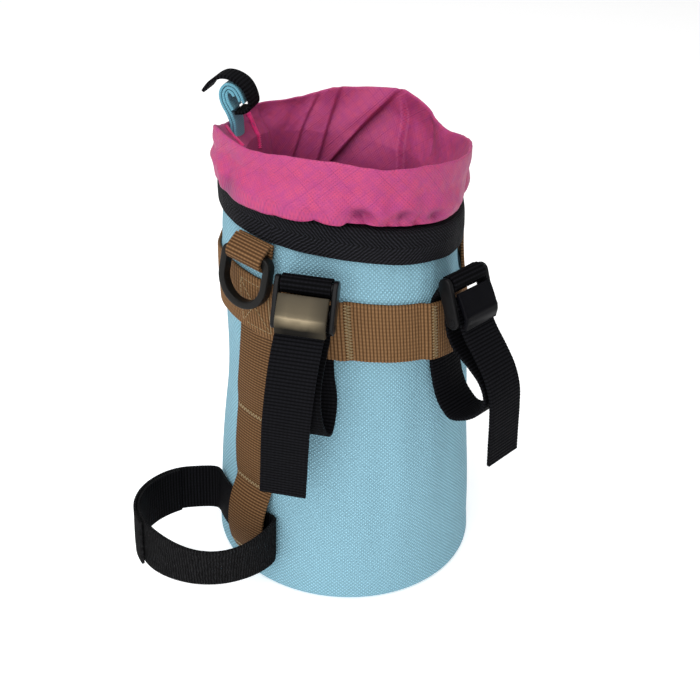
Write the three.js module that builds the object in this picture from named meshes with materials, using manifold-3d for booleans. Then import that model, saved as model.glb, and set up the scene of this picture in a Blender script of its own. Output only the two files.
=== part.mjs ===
// A soft bottle-shaped bag that straps to a bicycle's stem and handlebar.
// Millimetres and degrees, +Z up, origin at the middle of the base on the floor.
// Plan angles run from -Y towards +X, seen from above.

import * as THREE from 'three';
import { mergeVertices } from 'three/addons/utils/BufferGeometryUtils.js';
import Module from 'manifold-3d';

const wasm = await Module();
wasm.setup();

// Driving dimensions
const CLEAR = 0.3; // gap between neighbouring pieces
const BODY_RADIUS = 55; // nominal radius of the padded wall
const BODY_HEIGHT = 170; // floor to the top edge of the wall
const WALL = 3; // padded wall and base
const BASE_EDGE = 4; // rounding between wall and base
const INSIDE_EDGE = 3; // chamfer between wall and base, inside
const BASE_HUB = { x: 7, y: 4 }; // where the base's triangles meet, beside the origin
const WALL_ROWS = { low: 16, high: 157, outside: 8, inside: 4 };
const OVAL_TURN = 26; // turn of the body's oval, in plan
const RIM_RISE = 7; // the slanted top stands this much above and below its mean height

const BAND_LOW = 118.5;
// Turn from the oval's front where the band leaves the rim's slant, and where it runs level.
const BAND_LEVEL = { left: { from: 45, to: 95 }, right: { from: 110, to: 175 } };
const BAND_TALL = 24;
const BAND_THICK = 1.4;
const BAND_GAP = 0.4; // band to wall
const BAND_BULGE = 1.8; // how far a strap behind the band pushes it out
const BULGE_FLAT = 10.8; // half angle of the full bulge
const BULGE_RAMP = 5; // angle over which it dies away

const BINDING_LOW = 158.6;
const BINDING_TOP = 171.6;
const BINDING_THICK = 1.3;
const BINDING_TURN_IN = 161; // lower edge of the inner leg
const BINDING_SHOULDER = 0.8;

const BROWN_WIDTH = 20;
const BROWN_THICK = 1.3;
const BLACK_WIDTH = 18.4;
const BLACK_THICK = 1.3;

const RING_THETA = -9; // ring tab, D-ring and down strap
const SIDE_TAB_THETA = 114;
const SLOT_THETA = -77; // hem slot that lets the draw tape out

const RING_BAR_UP = 156.2;
const RING_BAR_OUT = 4.5; // bar centre to wall
const RING_LEAN = 6; // the D leans on the band by this angle
const RING_SLANT = -6.5; // turn about the outward line, along the slanted binding
const RING_HALF_WIDTH = 11.5;
const RING_LIMB = 3;
const RING_DEPTH = 4;
const RING_BEVEL = 0.7;
const RING_DROP = 9.8; // bar centre to the centre of the D's arc
const RING_CORNER = 2;
const RING_TAB_WIDTH = 16.2;
const RING_TAB_WRAP = { from: 180, to: 400 }; // turn of the webbing round the ring's bar

const TOP_BAR = { out: 7.6, radius: 2 };
const MIDDLE_BAR = { out: 10.2, drop: 8.9, radius: 1.6 }; // drop is measured below the top bar
const EAR_TOP = { out: 7.6, radius: 3 };
const EAR_FOOT = { out: 12.6, drop: 13.2, radius: 2.8 };
const EAR_INNER = 9.75; // half the gap between the ears
const EAR_THICK = 2;
const CAM_THICK = 1.8;
const TOP_WRAP = { from: -70, to: 185 }; // turn of a bar strap round each bar
const MIDDLE_WRAP = { from: 180, to: -20 };
const BEHIND_BAND = 0.8; // a strap lies on the wall from this far above the band to this far below
const HUG = { full: 3, none: 9 }; // distances from the wall where a strap follows its curve

const WRAP_LOW = 17;
const WRAP_WIDTH = 22;
const WRAP_THICK = 1.6;
const WRAP_LAP_THICK = 1.3; // second layer where the ends overlap
const WRAP = { theta: -26, reach: 71.8, long: 30.2, short: 26.3, gap: 0.5 };
const WRAP_LAP = { start: 120, end: 215, ramp: 14 };

const TAPE_WIDTH = 10;
const TAPE_THICK = 2.6; // two layers pressed together
const TAB_WIDTH = 11;
const TAB_THICK = 1.4;

const COLLAR_FOOT = 150;
const COLLAR_THICK = 1.4;
const HEM_THICK = 2.4;
const COLLAR_BELLY = 0.6; // outward bow of the collar at half height
const COLLAR_SPREAD = 3; // how soon the collar spreads over the binding
const COLLAR_LIP = 0.97; // part of the height where the rim starts to round over
const HEM = { from: 0.3, to: 0.8 }; // part of the height where the cloth thickens
const FOLD_TALL = 0.45; // half height of a fold, as a part of the collar
const FOLD_START = 0.12; // a fold grows from nothing up to this height

// Sides and steps of the turned and bent pieces.
const STEPS = {
  shell: 54,
  binding: 54,
  band: 96,
  collar: 80,
  collarRows: 6,
  ringArc: 10,
  tabWrap: 14,
  downStrap: 36,
  strapLoop: 38,
  strapTail: 14,
  topWrap: 10,
  middleWrap: 6,
  acrossFlat: 4,
  acrossStrap: 2,
  earFoot: 7,
  earTop: 9,
  bar: 12,
  cam: 8,
  wrapStrap: 60,
  slotStrip: 26,
};

// The padded body: half widths of its oval, lean of its centre, squareness of its plan.
const BODY_SECTIONS = [
  { z: 0, wide: 57.5, deep: 58, lean: 0, square: 2.0 },
  { z: 60, wide: 55, deep: 57, lean: 1.2, square: 2.1 },
  { z: 116, wide: 50.6, deep: 55, lean: 4.0, square: 2.2 },
  { z: 140, wide: 48.4, deep: 54, lean: 6.2, square: 2.4 },
  { z: 178, wide: 46.6, deep: 51.2, lean: 7.4, square: 2.3 },
];

// Soft dents in the padded wall: place, depth, and half height and half angle of each.
const DENTS = [
  { theta: -56, z: 88, depth: 2.6, tall: 30, broad: 30 },
  { theta: 100, z: 60, depth: 1.6, tall: 34, broad: 34 },
  { theta: 196, z: 96, depth: 2.0, tall: 40, broad: 38 },
];

// Rim of the collar: reach from the centre of the mouth, and height.
const COLLAR_RIM = [
  { theta: -42, reach: 51, z: 194.5 },
  { theta: -13, reach: 51.7, z: 193.5 },
  { theta: 9, reach: 52.4, z: 195 },
  { theta: 28, reach: 52.9, z: 194.3 },
  { theta: 43, reach: 54.3, z: 192.5 },
  { theta: 59, reach: 53.8, z: 192 },
  { theta: 86, reach: 51.8, z: 189.5 },
  { theta: 116, reach: 49.2, z: 187 },
  { theta: 146, reach: 48.6, z: 183.5 },
  { theta: 182, reach: 53.8, z: 190.5 },
  { theta: 213, reach: 49.3, z: 190 },
  { theta: 232, reach: 48.1, z: 187.5 },
  { theta: 257, reach: 47.4, z: 188 },
  { theta: 283, reach: 47, z: 186.5 },
  { theta: 304, reach: 48.5, z: 190.5 },
];

// Folds of the collar: plan angle at the rim and at the foot, how far the cloth is pushed
// out, half angle, and the part of the height (0 foot, 1 rim) where the fold is deepest.
const COLLAR_FOLDS = [
  { rim: 181, foot: 206, push: -3.4, broad: 7, deepest: 0.55 },
  { rim: 184, foot: 172, push: 2.6, broad: 6, deepest: 0.8 },
  { rim: 172, foot: 188, push: 2.2, broad: 7, deepest: 0.4 },
  { rim: 213, foot: 224, push: -2.6, broad: 6, deepest: 0.6 },
  { rim: 240, foot: 246, push: -1.8, broad: 8, deepest: 0.4 },
  { rim: 150, foot: 140, push: -2.2, broad: 12, deepest: 0.7 },
  { rim: 30, foot: 34, push: -1.5, broad: 5, deepest: 0.14 },
  { rim: 46, foot: 48, push: -1.3, broad: 4.5, deepest: 0.18 },
  { rim: 60, foot: 61, push: -1.5, broad: 5, deepest: 0.14 },
  { rim: -26, foot: -22, push: -2.2, broad: 6, deepest: 0.25 },
  { rim: 100, foot: 96, push: -1.6, broad: 9, deepest: 0.3 },
];

// The down strap's centre line: height, distance from the wall, and shift along the wall.
const DOWN_STRAP = [
  { up: 120.8, out: 1.0, side: 1.5 },
  { up: 105, out: 1.7, side: 0.2 },
  { up: 94, out: 1.6, side: -1.2 },
  { up: 85, out: 1.0, side: -1.6 },
  { up: 78, out: 1.5, side: -1.6 },
  { up: 67, out: 2.0, side: -1.6 },
  { up: 57, out: 1.6, side: -1.6 },
  { up: 50, out: 1.0, side: -1.6 },
  { up: 45, out: 3.4, side: -1.6 },
  { up: 39, out: 5.7, side: -1.6 },
  { up: 28, out: 6.8, side: -1.6 },
  { up: 20, out: 5.2, side: -1.6 },
  { up: 16, out: 3.5, side: -1.6 },
  { up: 11.5, out: 1.1, side: -1.6 },
  { up: 8, out: 1.0, side: -1.6 },
];

// Each bar strap: its free loop below the band and the tail that leaves the cam.
// out is measured from the wall at half the band's height, side along the strap's width.
const BAR_STRAPS = [
  {
    name: 'left',
    theta: 15.2,
    topBar: 151.2,
    loop: [
      { out: 2.6, up: 112, side: 0.8 },
      { out: 4.4, up: 103, side: 2.6 },
      { out: 7.2, up: 96, side: 3 },
      { out: 11.5, up: 92.2, side: 2.8 },
      { out: 16, up: 94.5, side: 2 },
      { out: 19, up: 100, side: 1 },
      { out: 19.8, up: 107, side: 0 },
      { out: 18, up: 114, side: -0.6 },
      { out: 14, up: 119.5, side: -0.8 },
      { out: 10.4, up: 124.8, side: -0.5 },
      { out: 8.4, up: 130.5, side: 0 },
    ],
    tail: [
      { out: 13.6, up: 139, side: 0 },
      { out: 15.6, up: 135.3, side: -0.4 },
      { out: 18.2, up: 130.2, side: -0.9 },
      { out: 20.9, up: 121, side: -1.7 },
      { out: 22.4, up: 110, side: -2.5 },
      { out: 22.3, up: 100, side: -3.3 },
      { out: 20.8, up: 88, side: -4.1 },
      { out: 18.6, up: 76, side: -4.9 },
      { out: 16.8, up: 64, side: -5.6 },
    ],
  },
  {
    name: 'right',
    theta: 74.5,
    topBar: 147.2,
    loop: [
      { out: 4, up: 107, side: 0 },
      { out: 6.4, up: 100, side: 0 },
      { out: 9.4, up: 95, side: 0 },
      { out: 14, up: 91.8, side: 0 },
      { out: 20.5, up: 94, side: 0 },
      { out: 26.5, up: 99, side: 0 },
      { out: 29.3, up: 105.5, side: 0 },
      { out: 26.8, up: 112, side: 0 },
      { out: 20.3, up: 117.5, side: 0 },
      { out: 13.3, up: 121.8, side: 0 },
      { out: 9.5, up: 127, side: 0 },
      { out: 8, up: 133, side: 0 },
    ],
    tail: [
      { out: 13.6, up: 135, side: 0 },
      { out: 15.6, up: 131.5, side: 0 },
      { out: 18.6, up: 127.3, side: 0 },
      { out: 23.6, up: 121.6, side: 0 },
      { out: 28.6, up: 115, side: 0 },
      { out: 31.8, up: 107.5, side: 0 },
      { out: 33, up: 99, side: 0 },
      { out: 33.6, up: 90, side: 0 },
      { out: 34.4, up: 79, side: 0 },
    ],
  },
];

// Side profile of the cam plate, top to bottom; drop is measured below the top bar.
const CAM_PLATE = [
  { out: 12.2, drop: 2 },
  { out: 14.7, drop: 7 },
  { out: 16.9, drop: 11.6 },
  { out: 18.1, drop: 15.3 },
];

// The draw tape and its pull tab, in the upright plane through the hem slot.
const DRAW_TAPE = [
  { reach: 43.5, up: 181.8 },
  { reach: 43.75, up: 184.5 },
  { reach: 43.8, up: 187 },
  { reach: 45.25, up: 191 },
  { reach: 47.75, up: 195.5 },
  { reach: 48.25, up: 199.5 },
  { reach: 46.05, up: 202.2 },
  { reach: 43.05, up: 201.4 },
  { reach: 40.95, up: 198.4 },
  { reach: 39.95, up: 195.6 },
];
const PULL_TAB = [
  { reach: 43.05, up: 191.8 },
  { reach: 39.05, up: 192.6 },
  { reach: 36.85, up: 194.6 },
  { reach: 37.45, up: 198.6 },
  { reach: 40.05, up: 202.8 },
  { reach: 44.45, up: 205.2 },
  { reach: 48.85, up: 205.4 },
  { reach: 52.85, up: 203 },
  { reach: 56.05, up: 199 },
];

// Finishes
const finish = (color, roughness) => new THREE.MeshStandardMaterial({ color, roughness, metalness: 0 });
const BLUE_CLOTH = finish(0x9fd3e4, 0.85);
const MAGENTA_CLOTH = finish(0xb8427c, 0.7);
const BLACK_TAPE = finish(0x17171a, 0.85);
const BROWN_WEBBING = finish(0x7a5230, 0.85);
const BLACK_WEBBING = finish(0x141417, 0.8);
const BLUE_TAPE = finish(0x67b3cf, 0.75);
const MATTE_PLASTIC = finish(0x232220, 0.55);
const GLOSS_PLASTIC = finish(0x1c1d1f, 0.25);

const rad = THREE.MathUtils.degToRad;
const smooth = THREE.MathUtils.smoothstep;

// A smooth curve through the rows of a table: key column in, the named columns out.
function tableCurve(rows, key, columns) {
  const positions = rows.map((row) => row[key]);
  const values = rows.flatMap((row) => columns.map((column) => row[column]));
  const curve = new THREE.CubicInterpolant(positions, values, columns.length);
  return (at) => Array.from(curve.evaluate(at));
}

function direction(theta) {
  return new THREE.Vector3(Math.sin(rad(theta)), -Math.cos(rad(theta)), 0);
}

// Values from one end to the other, both ends included.
function evenly(from, to, steps) {
  return Array.from({ length: steps + 1 }, (unused, i) => from + ((to - from) * i) / steps);
}

function angleBetween(a, b) {
  return THREE.MathUtils.euclideanModulo(a - b + 180, 360) - 180;
}

function bell(distance, half) {
  return Math.exp(-((distance / half) ** 2));
}

// The padded wall's outer surface
const bodySection = tableCurve(BODY_SECTIONS, 'z', ['wide', 'deep', 'lean', 'square']);

function bodyCentre(z) {
  const lean = bodySection(z)[2];
  return direction(OVAL_TURN - 90).multiplyScalar(lean);
}

// Rise of the slanted rim, binding and band above their mean height; none near the base.
function lift(theta, z) {
  return -RIM_RISE * Math.sin(rad(theta - OVAL_TURN)) * smooth(z, WALL_ROWS.low, BAND_LOW);
}

// The band follows the rim's slant in front and runs level at the left and the back.
function bandLift(theta, z) {
  const turn = angleBetween(theta, OVAL_TURN);
  const level = turn < 0 ? BAND_LEVEL.left : BAND_LEVEL.right;
  return lift(theta, z) * (1 - smooth(Math.abs(turn), level.from, level.to));
}

function wallRadius(theta, z) {
  const [wide, deep, , square] = bodySection(z);
  const turn = rad(theta - OVAL_TURN);
  const across = Math.abs(Math.sin(turn)) / wide;
  const along = Math.abs(Math.cos(turn)) / deep;
  const plain = (across ** square + along ** square) ** (-1 / square);
  const dent = DENTS.reduce((sum, row) => {
    const turned = bell(angleBetween(theta, row.theta), row.broad);
    return sum + row.depth * turned * bell(z - row.z, row.tall);
  }, 0);
  return plain - dent;
}

// Straps lie in upright planes through the line at the band's centre.
const BAND_MIDDLE = BAND_LOW + BAND_TALL / 2;
const BAND_CENTRE = bodyCentre(BAND_MIDDLE);

// Distance from that line to the wall, in the plan direction theta at height z.
function wallReach(theta, z) {
  const centre = bodyCentre(z);
  let reach = BODY_RADIUS;
  for (let step = 0; step < 12; step += 1) {
    const point = BAND_CENTRE.clone().addScaledVector(direction(theta), reach).sub(centre);
    const seen = THREE.MathUtils.radToDeg(Math.atan2(point.x, -point.y));
    reach += wallRadius(seen, z) - Math.hypot(point.x, point.y);
  }
  return reach;
}

// A group whose +X points outwards at theta, +Y along the wall and +Z up.
function outwardGroup(theta, centre = BAND_CENTRE) {
  const group = new THREE.Group();
  group.position.set(centre.x, centre.y, 0);
  group.rotation.z = rad(theta - 90);
  return group;
}

// One closed body: shared vertices joined, empty triangles dropped, faces outwards.
function closedBody(geometry) {
  geometry.deleteAttribute('normal');
  geometry.deleteAttribute('uv');
  const merged = mergeVertices(geometry, 1e-3);
  const position = merged.attributes.position;
  const corners = Array.from(merged.index.array);
  const kept = [];
  const [a, b, c] = [new THREE.Vector3(), new THREE.Vector3(), new THREE.Vector3()];
  let volume = 0;
  for (let i = 0; i < corners.length; i += 3) {
    const face = corners.slice(i, i + 3);
    if (new Set(face).size === 3) {
      kept.push(face);
      a.fromBufferAttribute(position, face[0]);
      b.fromBufferAttribute(position, face[1]);
      c.fromBufferAttribute(position, face[2]);
      volume += a.dot(b.cross(c));
    }
  }
  const outward = volume < 0 ? kept.map((face) => face.reverse()) : kept;
  merged.setIndex(outward.flat());
  merged.computeVertexNormals();
  return merged;
}

function movePoints(geometry, place) {
  const position = geometry.attributes.position;
  const point = new THREE.Vector3();
  for (let i = 0; i < position.count; i += 1) {
    point.fromBufferAttribute(position, i);
    const moved = place(point, i);
    position.setXYZ(i, moved.x, moved.y, moved.z);
  }
  return geometry;
}

// A turned ring or cup whose points are then placed by their plan angle and profile row.
function turned(profile, segments, place) {
  const outline = profile.map((row) => new THREE.Vector2(row.r, row.z));
  const geometry = new THREE.LatheGeometry(outline, segments);
  movePoints(geometry, (point, i) => {
    const turn = Math.floor(i / profile.length) % segments;
    return place((turn * 360) / segments, profile[i % profile.length]);
  });
  return closedBody(geometry);
}

// Turned pieces that follow the body's oval, lean and dents.
function turnedOnBody(profile, segments, bulge = () => 0, rise = lift) {
  return turned(profile, segments, (theta, row) => {
    const z = row.z + rise(theta, row.z);
    const radius = (wallRadius(theta, z) * row.r) / BODY_RADIUS + bulge(theta);
    return bodyCentre(z).addScaledVector(direction(theta), radius).setZ(z);
  });
}

// The outline of a strip of even thickness along a centre line.
function stripOutline(path, thickness) {
  const last = path.length - 1;
  const sides = path.map((point, i) => {
    const before = path[Math.max(i - 1, 0)];
    const after = path[Math.min(i + 1, last)];
    const normal = new THREE.Vector2(before.y - after.y, after.x - before.x);
    return normal.normalize().multiplyScalar(thickness / 2);
  });
  const outer = path.map((point, i) => point.clone().add(sides[i]));
  const inner = path.map((point, i) => point.clone().sub(sides[i]));
  return new THREE.Shape([...outer, ...inner.reverse()]);
}

// A profile drawn outwards and upwards, given its width along the wall.
function acrossWall(outline, width, steps = 1) {
  const geometry = new THREE.ExtrudeGeometry(outline, { depth: width, steps, bevelEnabled: false });
  geometry.translate(0, 0, -width / 2);
  return geometry.rotateX(Math.PI / 2);
}

function curvePoints(rows, count) {
  const points = rows.map((row) => new THREE.Vector2(row.out, row.up));
  return new THREE.SplineCurve(points).getPoints(count);
}

function arcPoints(centre, radius, from, to, count) {
  return evenly(from, to, count).map((turn) => {
    const arm = new THREE.Vector2(Math.cos(rad(turn)), Math.sin(rad(turn)));
    return arm.multiplyScalar(radius).add(centre);
  });
}

// Bends a strip across its width to the wall's curve; hug says how much, by distance from the wall.
function bentToWall(geometry, theta, hug = () => 1) {
  return movePoints(geometry, (point) => {
    const wall = wallReach(theta, point.z);
    const turn = Math.atan2(point.y, wall);
    const fall = wall - wallReach(theta + THREE.MathUtils.radToDeg(turn), point.z) * Math.cos(turn);
    return point.setX(point.x - fall * hug(point.x - wall));
  });
}

function named(name, geometry, material) {
  const mesh = new THREE.Mesh(geometry, material);
  mesh.name = name;
  return mesh;
}

function asManifold(geometry) {
  const body = closedBody(geometry);
  const mesh = new wasm.Mesh({
    numProp: 3,
    vertProperties: new Float32Array(body.attributes.position.array),
    triVerts: new Uint32Array(body.index.array),
  });
  return new wasm.Manifold(mesh);
}

function joined(geometries) {
  const whole = geometries.map(asManifold).reduce((sum, next) => sum.add(next));
  const mesh = whole.getMesh();
  const geometry = new THREE.BufferGeometry();
  geometry.setAttribute('position', new THREE.BufferAttribute(mesh.vertProperties, 3));
  geometry.setIndex(new THREE.BufferAttribute(mesh.triVerts, 1));
  return geometry;
}

// Padded shell: flat base with a rounded edge, wall, top edge and hollow inside.
function makeShell() {
  const wallHeights = evenly(WALL_ROWS.low, WALL_ROWS.high, WALL_ROWS.outside);
  const insideHeights = evenly(WALL_ROWS.high, WALL_ROWS.low, WALL_ROWS.inside);
  const inner = BODY_RADIUS - WALL;
  const edge = (turn) => ({
    r: BODY_RADIUS - BASE_EDGE + BASE_EDGE * Math.sin(rad(turn)),
    z: BASE_EDGE - BASE_EDGE * Math.cos(rad(turn)),
  });
  const profile = [
    { r: 0, z: 0 },
    { r: BODY_RADIUS / 2, z: 0 },
    ...evenly(0, 90, 3).map(edge),
    ...wallHeights.map((z) => ({ r: BODY_RADIUS, z })),
    { r: BODY_RADIUS, z: BODY_HEIGHT },
    { r: inner, z: BODY_HEIGHT },
    ...insideHeights.map((z) => ({ r: inner, z })),
    { r: inner, z: WALL + INSIDE_EDGE },
    { r: inner - INSIDE_EDGE, z: WALL },
    { r: 0, z: WALL },
  ];
  const hubShift = new THREE.Vector3(BASE_HUB.x, BASE_HUB.y, 0);
  const shell = turned(profile, STEPS.shell, (theta, row) => {
    const z = row.z + lift(theta, row.z);
    const radius = (wallRadius(theta, z) * row.r) / BODY_RADIUS;
    const point = bodyCentre(z).addScaledVector(direction(theta), radius).setZ(z);
    return row.r === 0 ? point.add(hubShift) : point;
  });
  return named('shell', shell, BLUE_CLOTH);
}

// Tape folded over the top edge, with an outer and an inner leg.
function makeBinding() {
  const outer = BODY_RADIUS + CLEAR;
  const inner = BODY_RADIUS - WALL - CLEAR;
  const shoulder = BINDING_SHOULDER;
  const profile = [
    { r: outer, z: BINDING_LOW },
    { r: outer + BINDING_THICK, z: BINDING_LOW },
    { r: outer + BINDING_THICK, z: BINDING_TOP - shoulder },
    { r: outer + BINDING_THICK - shoulder, z: BINDING_TOP },
    { r: inner - BINDING_THICK + shoulder, z: BINDING_TOP },
    { r: inner - BINDING_THICK, z: BINDING_TOP - shoulder },
    { r: inner - BINDING_THICK, z: BINDING_TURN_IN },
    { r: inner, z: BINDING_TURN_IN },
    { r: inner, z: BODY_HEIGHT + CLEAR },
    { r: outer, z: BODY_HEIGHT + CLEAR },
    { r: outer, z: BINDING_LOW },
  ];
  return named('rim_binding', turnedOnBody(profile, STEPS.binding), BLACK_TAPE);
}

// The collar's middle surface: s runs from 0 at the binding's top to 1 at the rim.
const rimRows = [-360, 0, 360].flatMap((turn) => {
  return COLLAR_RIM.map((row) => ({ ...row, theta: row.theta + turn }));
});
const collarRim = tableCurve(rimRows, 'theta', ['reach', 'z']);

function collarPoint(theta, s, inset) {
  const [rimReach, rimHeight] = collarRim(theta);
  const foot = BINDING_TOP + lift(theta, BINDING_TOP);
  const footReach = wallRadius(theta, foot) - WALL - BINDING_THICK - 2 * CLEAR - COLLAR_THICK / 2;
  const up = Math.max(s, 0);
  const folds = COLLAR_FOLDS.reduce((sum, fold) => {
    const at = fold.foot + (fold.rim - fold.foot) * up;
    const height = bell(up - fold.deepest, FOLD_TALL) * smooth(up, 0, FOLD_START);
    return sum + fold.push * height * bell(angleBetween(theta, at), fold.broad);
  }, 0);
  const belly = COLLAR_BELLY * Math.sin(Math.PI * up);
  const spread = 1 - (1 - up) ** COLLAR_SPREAD;
  const reach = footReach + (rimReach - footReach) * spread + belly + folds - inset;
  const tall = s < 0 ? BINDING_TOP - COLLAR_FOOT : rimHeight - foot;
  const z = foot + s * tall;
  return bodyCentre(BODY_HEIGHT).addScaledVector(direction(theta), reach).setZ(z);
}

// A double layer of thin cloth, thicker along the hem, with a rounded rim.
function makeCollar() {
  const half = (s) => (COLLAR_THICK + (HEM_THICK - COLLAR_THICK) * smooth(s, HEM.from, HEM.to)) / 2;
  const heights = [-1, ...evenly(0, COLLAR_LIP, STEPS.collarRows)];
  const outer = heights.map((s) => ({ s, inset: -half(s) }));
  const inner = heights.map((s) => ({ s, inset: half(s) }));
  const rows = [...outer, { s: 1, inset: 0 }, ...inner.reverse(), outer[0]];
  const profile = rows.map((row) => ({ r: BODY_RADIUS - row.inset, z: row.s, ...row }));
  const collar = turned(profile, STEPS.collar, (theta, row) => collarPoint(theta, row.s, row.inset));
  return named('collar', collar, MAGENTA_CLOTH);
}

// Webbing ring round the body, pushed out where the bar straps pass behind it.
function makeBand() {
  const inner = BODY_RADIUS + BAND_GAP;
  const high = BAND_LOW + BAND_TALL;
  const profile = [
    { r: inner, z: BAND_LOW },
    { r: inner + BAND_THICK, z: BAND_LOW },
    { r: inner + BAND_THICK, z: high },
    { r: inner, z: high },
    { r: inner, z: BAND_LOW },
  ];
  const bulge = (theta) => BAR_STRAPS.reduce((sum, row) => {
    const away = Math.abs(angleBetween(theta, row.theta));
    return sum + BAND_BULGE * (1 - smooth(away, BULGE_FLAT, BULGE_FLAT + BULGE_RAMP));
  }, 0);
  return named('band', turnedOnBody(profile, STEPS.band, bulge, bandLift), BROWN_WEBBING);
}

// The tab and the ring share a group at the bar's height, turned along the binding.
function ringGroup() {
  const place = outwardGroup(RING_THETA);
  const slanted = new THREE.Group();
  slanted.position.z = RING_BAR_UP;
  slanted.rotation.x = rad(RING_SLANT);
  place.add(slanted);
  return place;
}

// Webbing loop that comes out under the binding and holds the D-ring's bar.
function makeRingTab() {
  const bar = new THREE.Vector2(wallReach(RING_THETA, RING_BAR_UP) + RING_BAR_OUT, 0);
  const barCorner = Math.hypot(RING_DEPTH / 2, RING_DEPTH / 2 - RING_BEVEL);
  const wrap = barCorner + CLEAR + BROWN_THICK / 2;
  const top = BINDING_LOW + lift(RING_THETA, BINDING_LOW) - 2 * CLEAR - RING_BAR_UP;
  const wall = wallReach(RING_THETA, RING_BAR_UP);
  const path = [
    new THREE.Vector2(wall + BROWN_THICK / 2 + CLEAR, top),
    ...arcPoints(bar, wrap, RING_TAB_WRAP.from, RING_TAB_WRAP.to, STEPS.tabWrap),
    new THREE.Vector2(wall + 1.5 * BROWN_THICK + 2 * CLEAR, top),
  ];
  const tab = closedBody(acrossWall(stripOutline(path, BROWN_THICK), RING_TAB_WIDTH));
  const place = ringGroup();
  place.children[0].add(named('ring_tab', tab, BROWN_WEBBING));
  return place;
}

// D-ring hanging from its straight bar: the bar's centre is the hinge.
function makeRing() {
  const hole = RING_HALF_WIDTH - RING_LIMB;
  const bar = RING_DEPTH / 2;
  const corner = RING_CORNER;
  const outline = new THREE.Shape();
  outline.moveTo(-RING_HALF_WIDTH, bar - corner);
  outline.absarc(0, -RING_DROP, RING_HALF_WIDTH, Math.PI, 2 * Math.PI, false);
  outline.lineTo(RING_HALF_WIDTH, bar - corner);
  outline.absarc(RING_HALF_WIDTH - corner, bar - corner, corner, 0, Math.PI / 2, false);
  outline.absarc(corner - RING_HALF_WIDTH, bar - corner, corner, Math.PI / 2, Math.PI, false);
  const inside = new THREE.Path();
  inside.moveTo(hole, -bar);
  inside.lineTo(hole, -RING_DROP);
  inside.absarc(0, -RING_DROP, hole, 2 * Math.PI, Math.PI, true);
  inside.lineTo(-hole, -bar);
  inside.closePath();
  outline.holes.push(inside);
  const geometry = new THREE.ExtrudeGeometry(outline, {
    depth: RING_DEPTH - 2 * RING_BEVEL,
    bevelThickness: RING_BEVEL,
    bevelSize: RING_BEVEL,
    bevelOffset: -RING_BEVEL,
    bevelSegments: 1,
    curveSegments: STEPS.ringArc,
  });
  geometry.translate(0, 0, RING_BEVEL - RING_DEPTH / 2);
  geometry.rotateX(Math.PI / 2).rotateZ(Math.PI / 2);
  const hinge = new THREE.Group();
  hinge.position.x = wallReach(RING_THETA, RING_BAR_UP) + RING_BAR_OUT;
  hinge.rotation.y = -rad(RING_LEAN);
  hinge.add(named('d_ring', closedBody(geometry), MATTE_PLASTIC));
  const place = ringGroup();
  place.children[0].add(hinge);
  return place;
}

// Webbing sewn down the wall in steps, bowed out over the wrap strap at its foot.
function makeDownStrap() {
  const rows = DOWN_STRAP.map((row) => ({ up: row.up, out: wallReach(RING_THETA, row.up) + row.out }));
  const path = curvePoints(rows, STEPS.downStrap);
  const least = BROWN_THICK / 2 + CLEAR;
  path.forEach((point) => point.setX(Math.max(point.x, wallReach(RING_THETA, point.y) + least)));
  const flat = acrossWall(stripOutline(path, BROWN_THICK), BROWN_WIDTH, STEPS.acrossFlat);
  const climb = [...DOWN_STRAP].reverse();
  const sideways = tableCurve(climb, 'up', ['side']);
  movePoints(flat, (point) => point.setY(point.y + sideways(point.z)[0]));
  const strap = closedBody(bentToWall(flat, RING_THETA));
  const place = outwardGroup(RING_THETA);
  place.add(named('down_strap', strap, BROWN_WEBBING));
  return place;
}

// Flat webbing between the binding and the band.
function makeSideTab() {
  const rise = lift(SIDE_TAB_THETA, BINDING_LOW);
  const heights = evenly(BINDING_LOW + rise - 2 * CLEAR, BAND_LOW + BAND_TALL + rise + 2 * CLEAR, 3);
  const path = heights.map((up) => {
    const out = wallReach(SIDE_TAB_THETA, up) + BROWN_THICK / 2 + CLEAR;
    return new THREE.Vector2(out, up);
  });
  const flat = acrossWall(stripOutline(path, BROWN_THICK), BROWN_WIDTH, STEPS.acrossFlat);
  const tab = closedBody(bentToWall(flat, SIDE_TAB_THETA));
  const place = outwardGroup(SIDE_TAB_THETA);
  place.add(named('side_tab', tab, BROWN_WEBBING));
  return place;
}

// A buckle's top and middle bars at their heights.
function buckleBars(topBar) {
  return [{ ...TOP_BAR, up: topBar }, { ...MIDDLE_BAR, up: topBar - MIDDLE_BAR.drop }];
}

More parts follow.
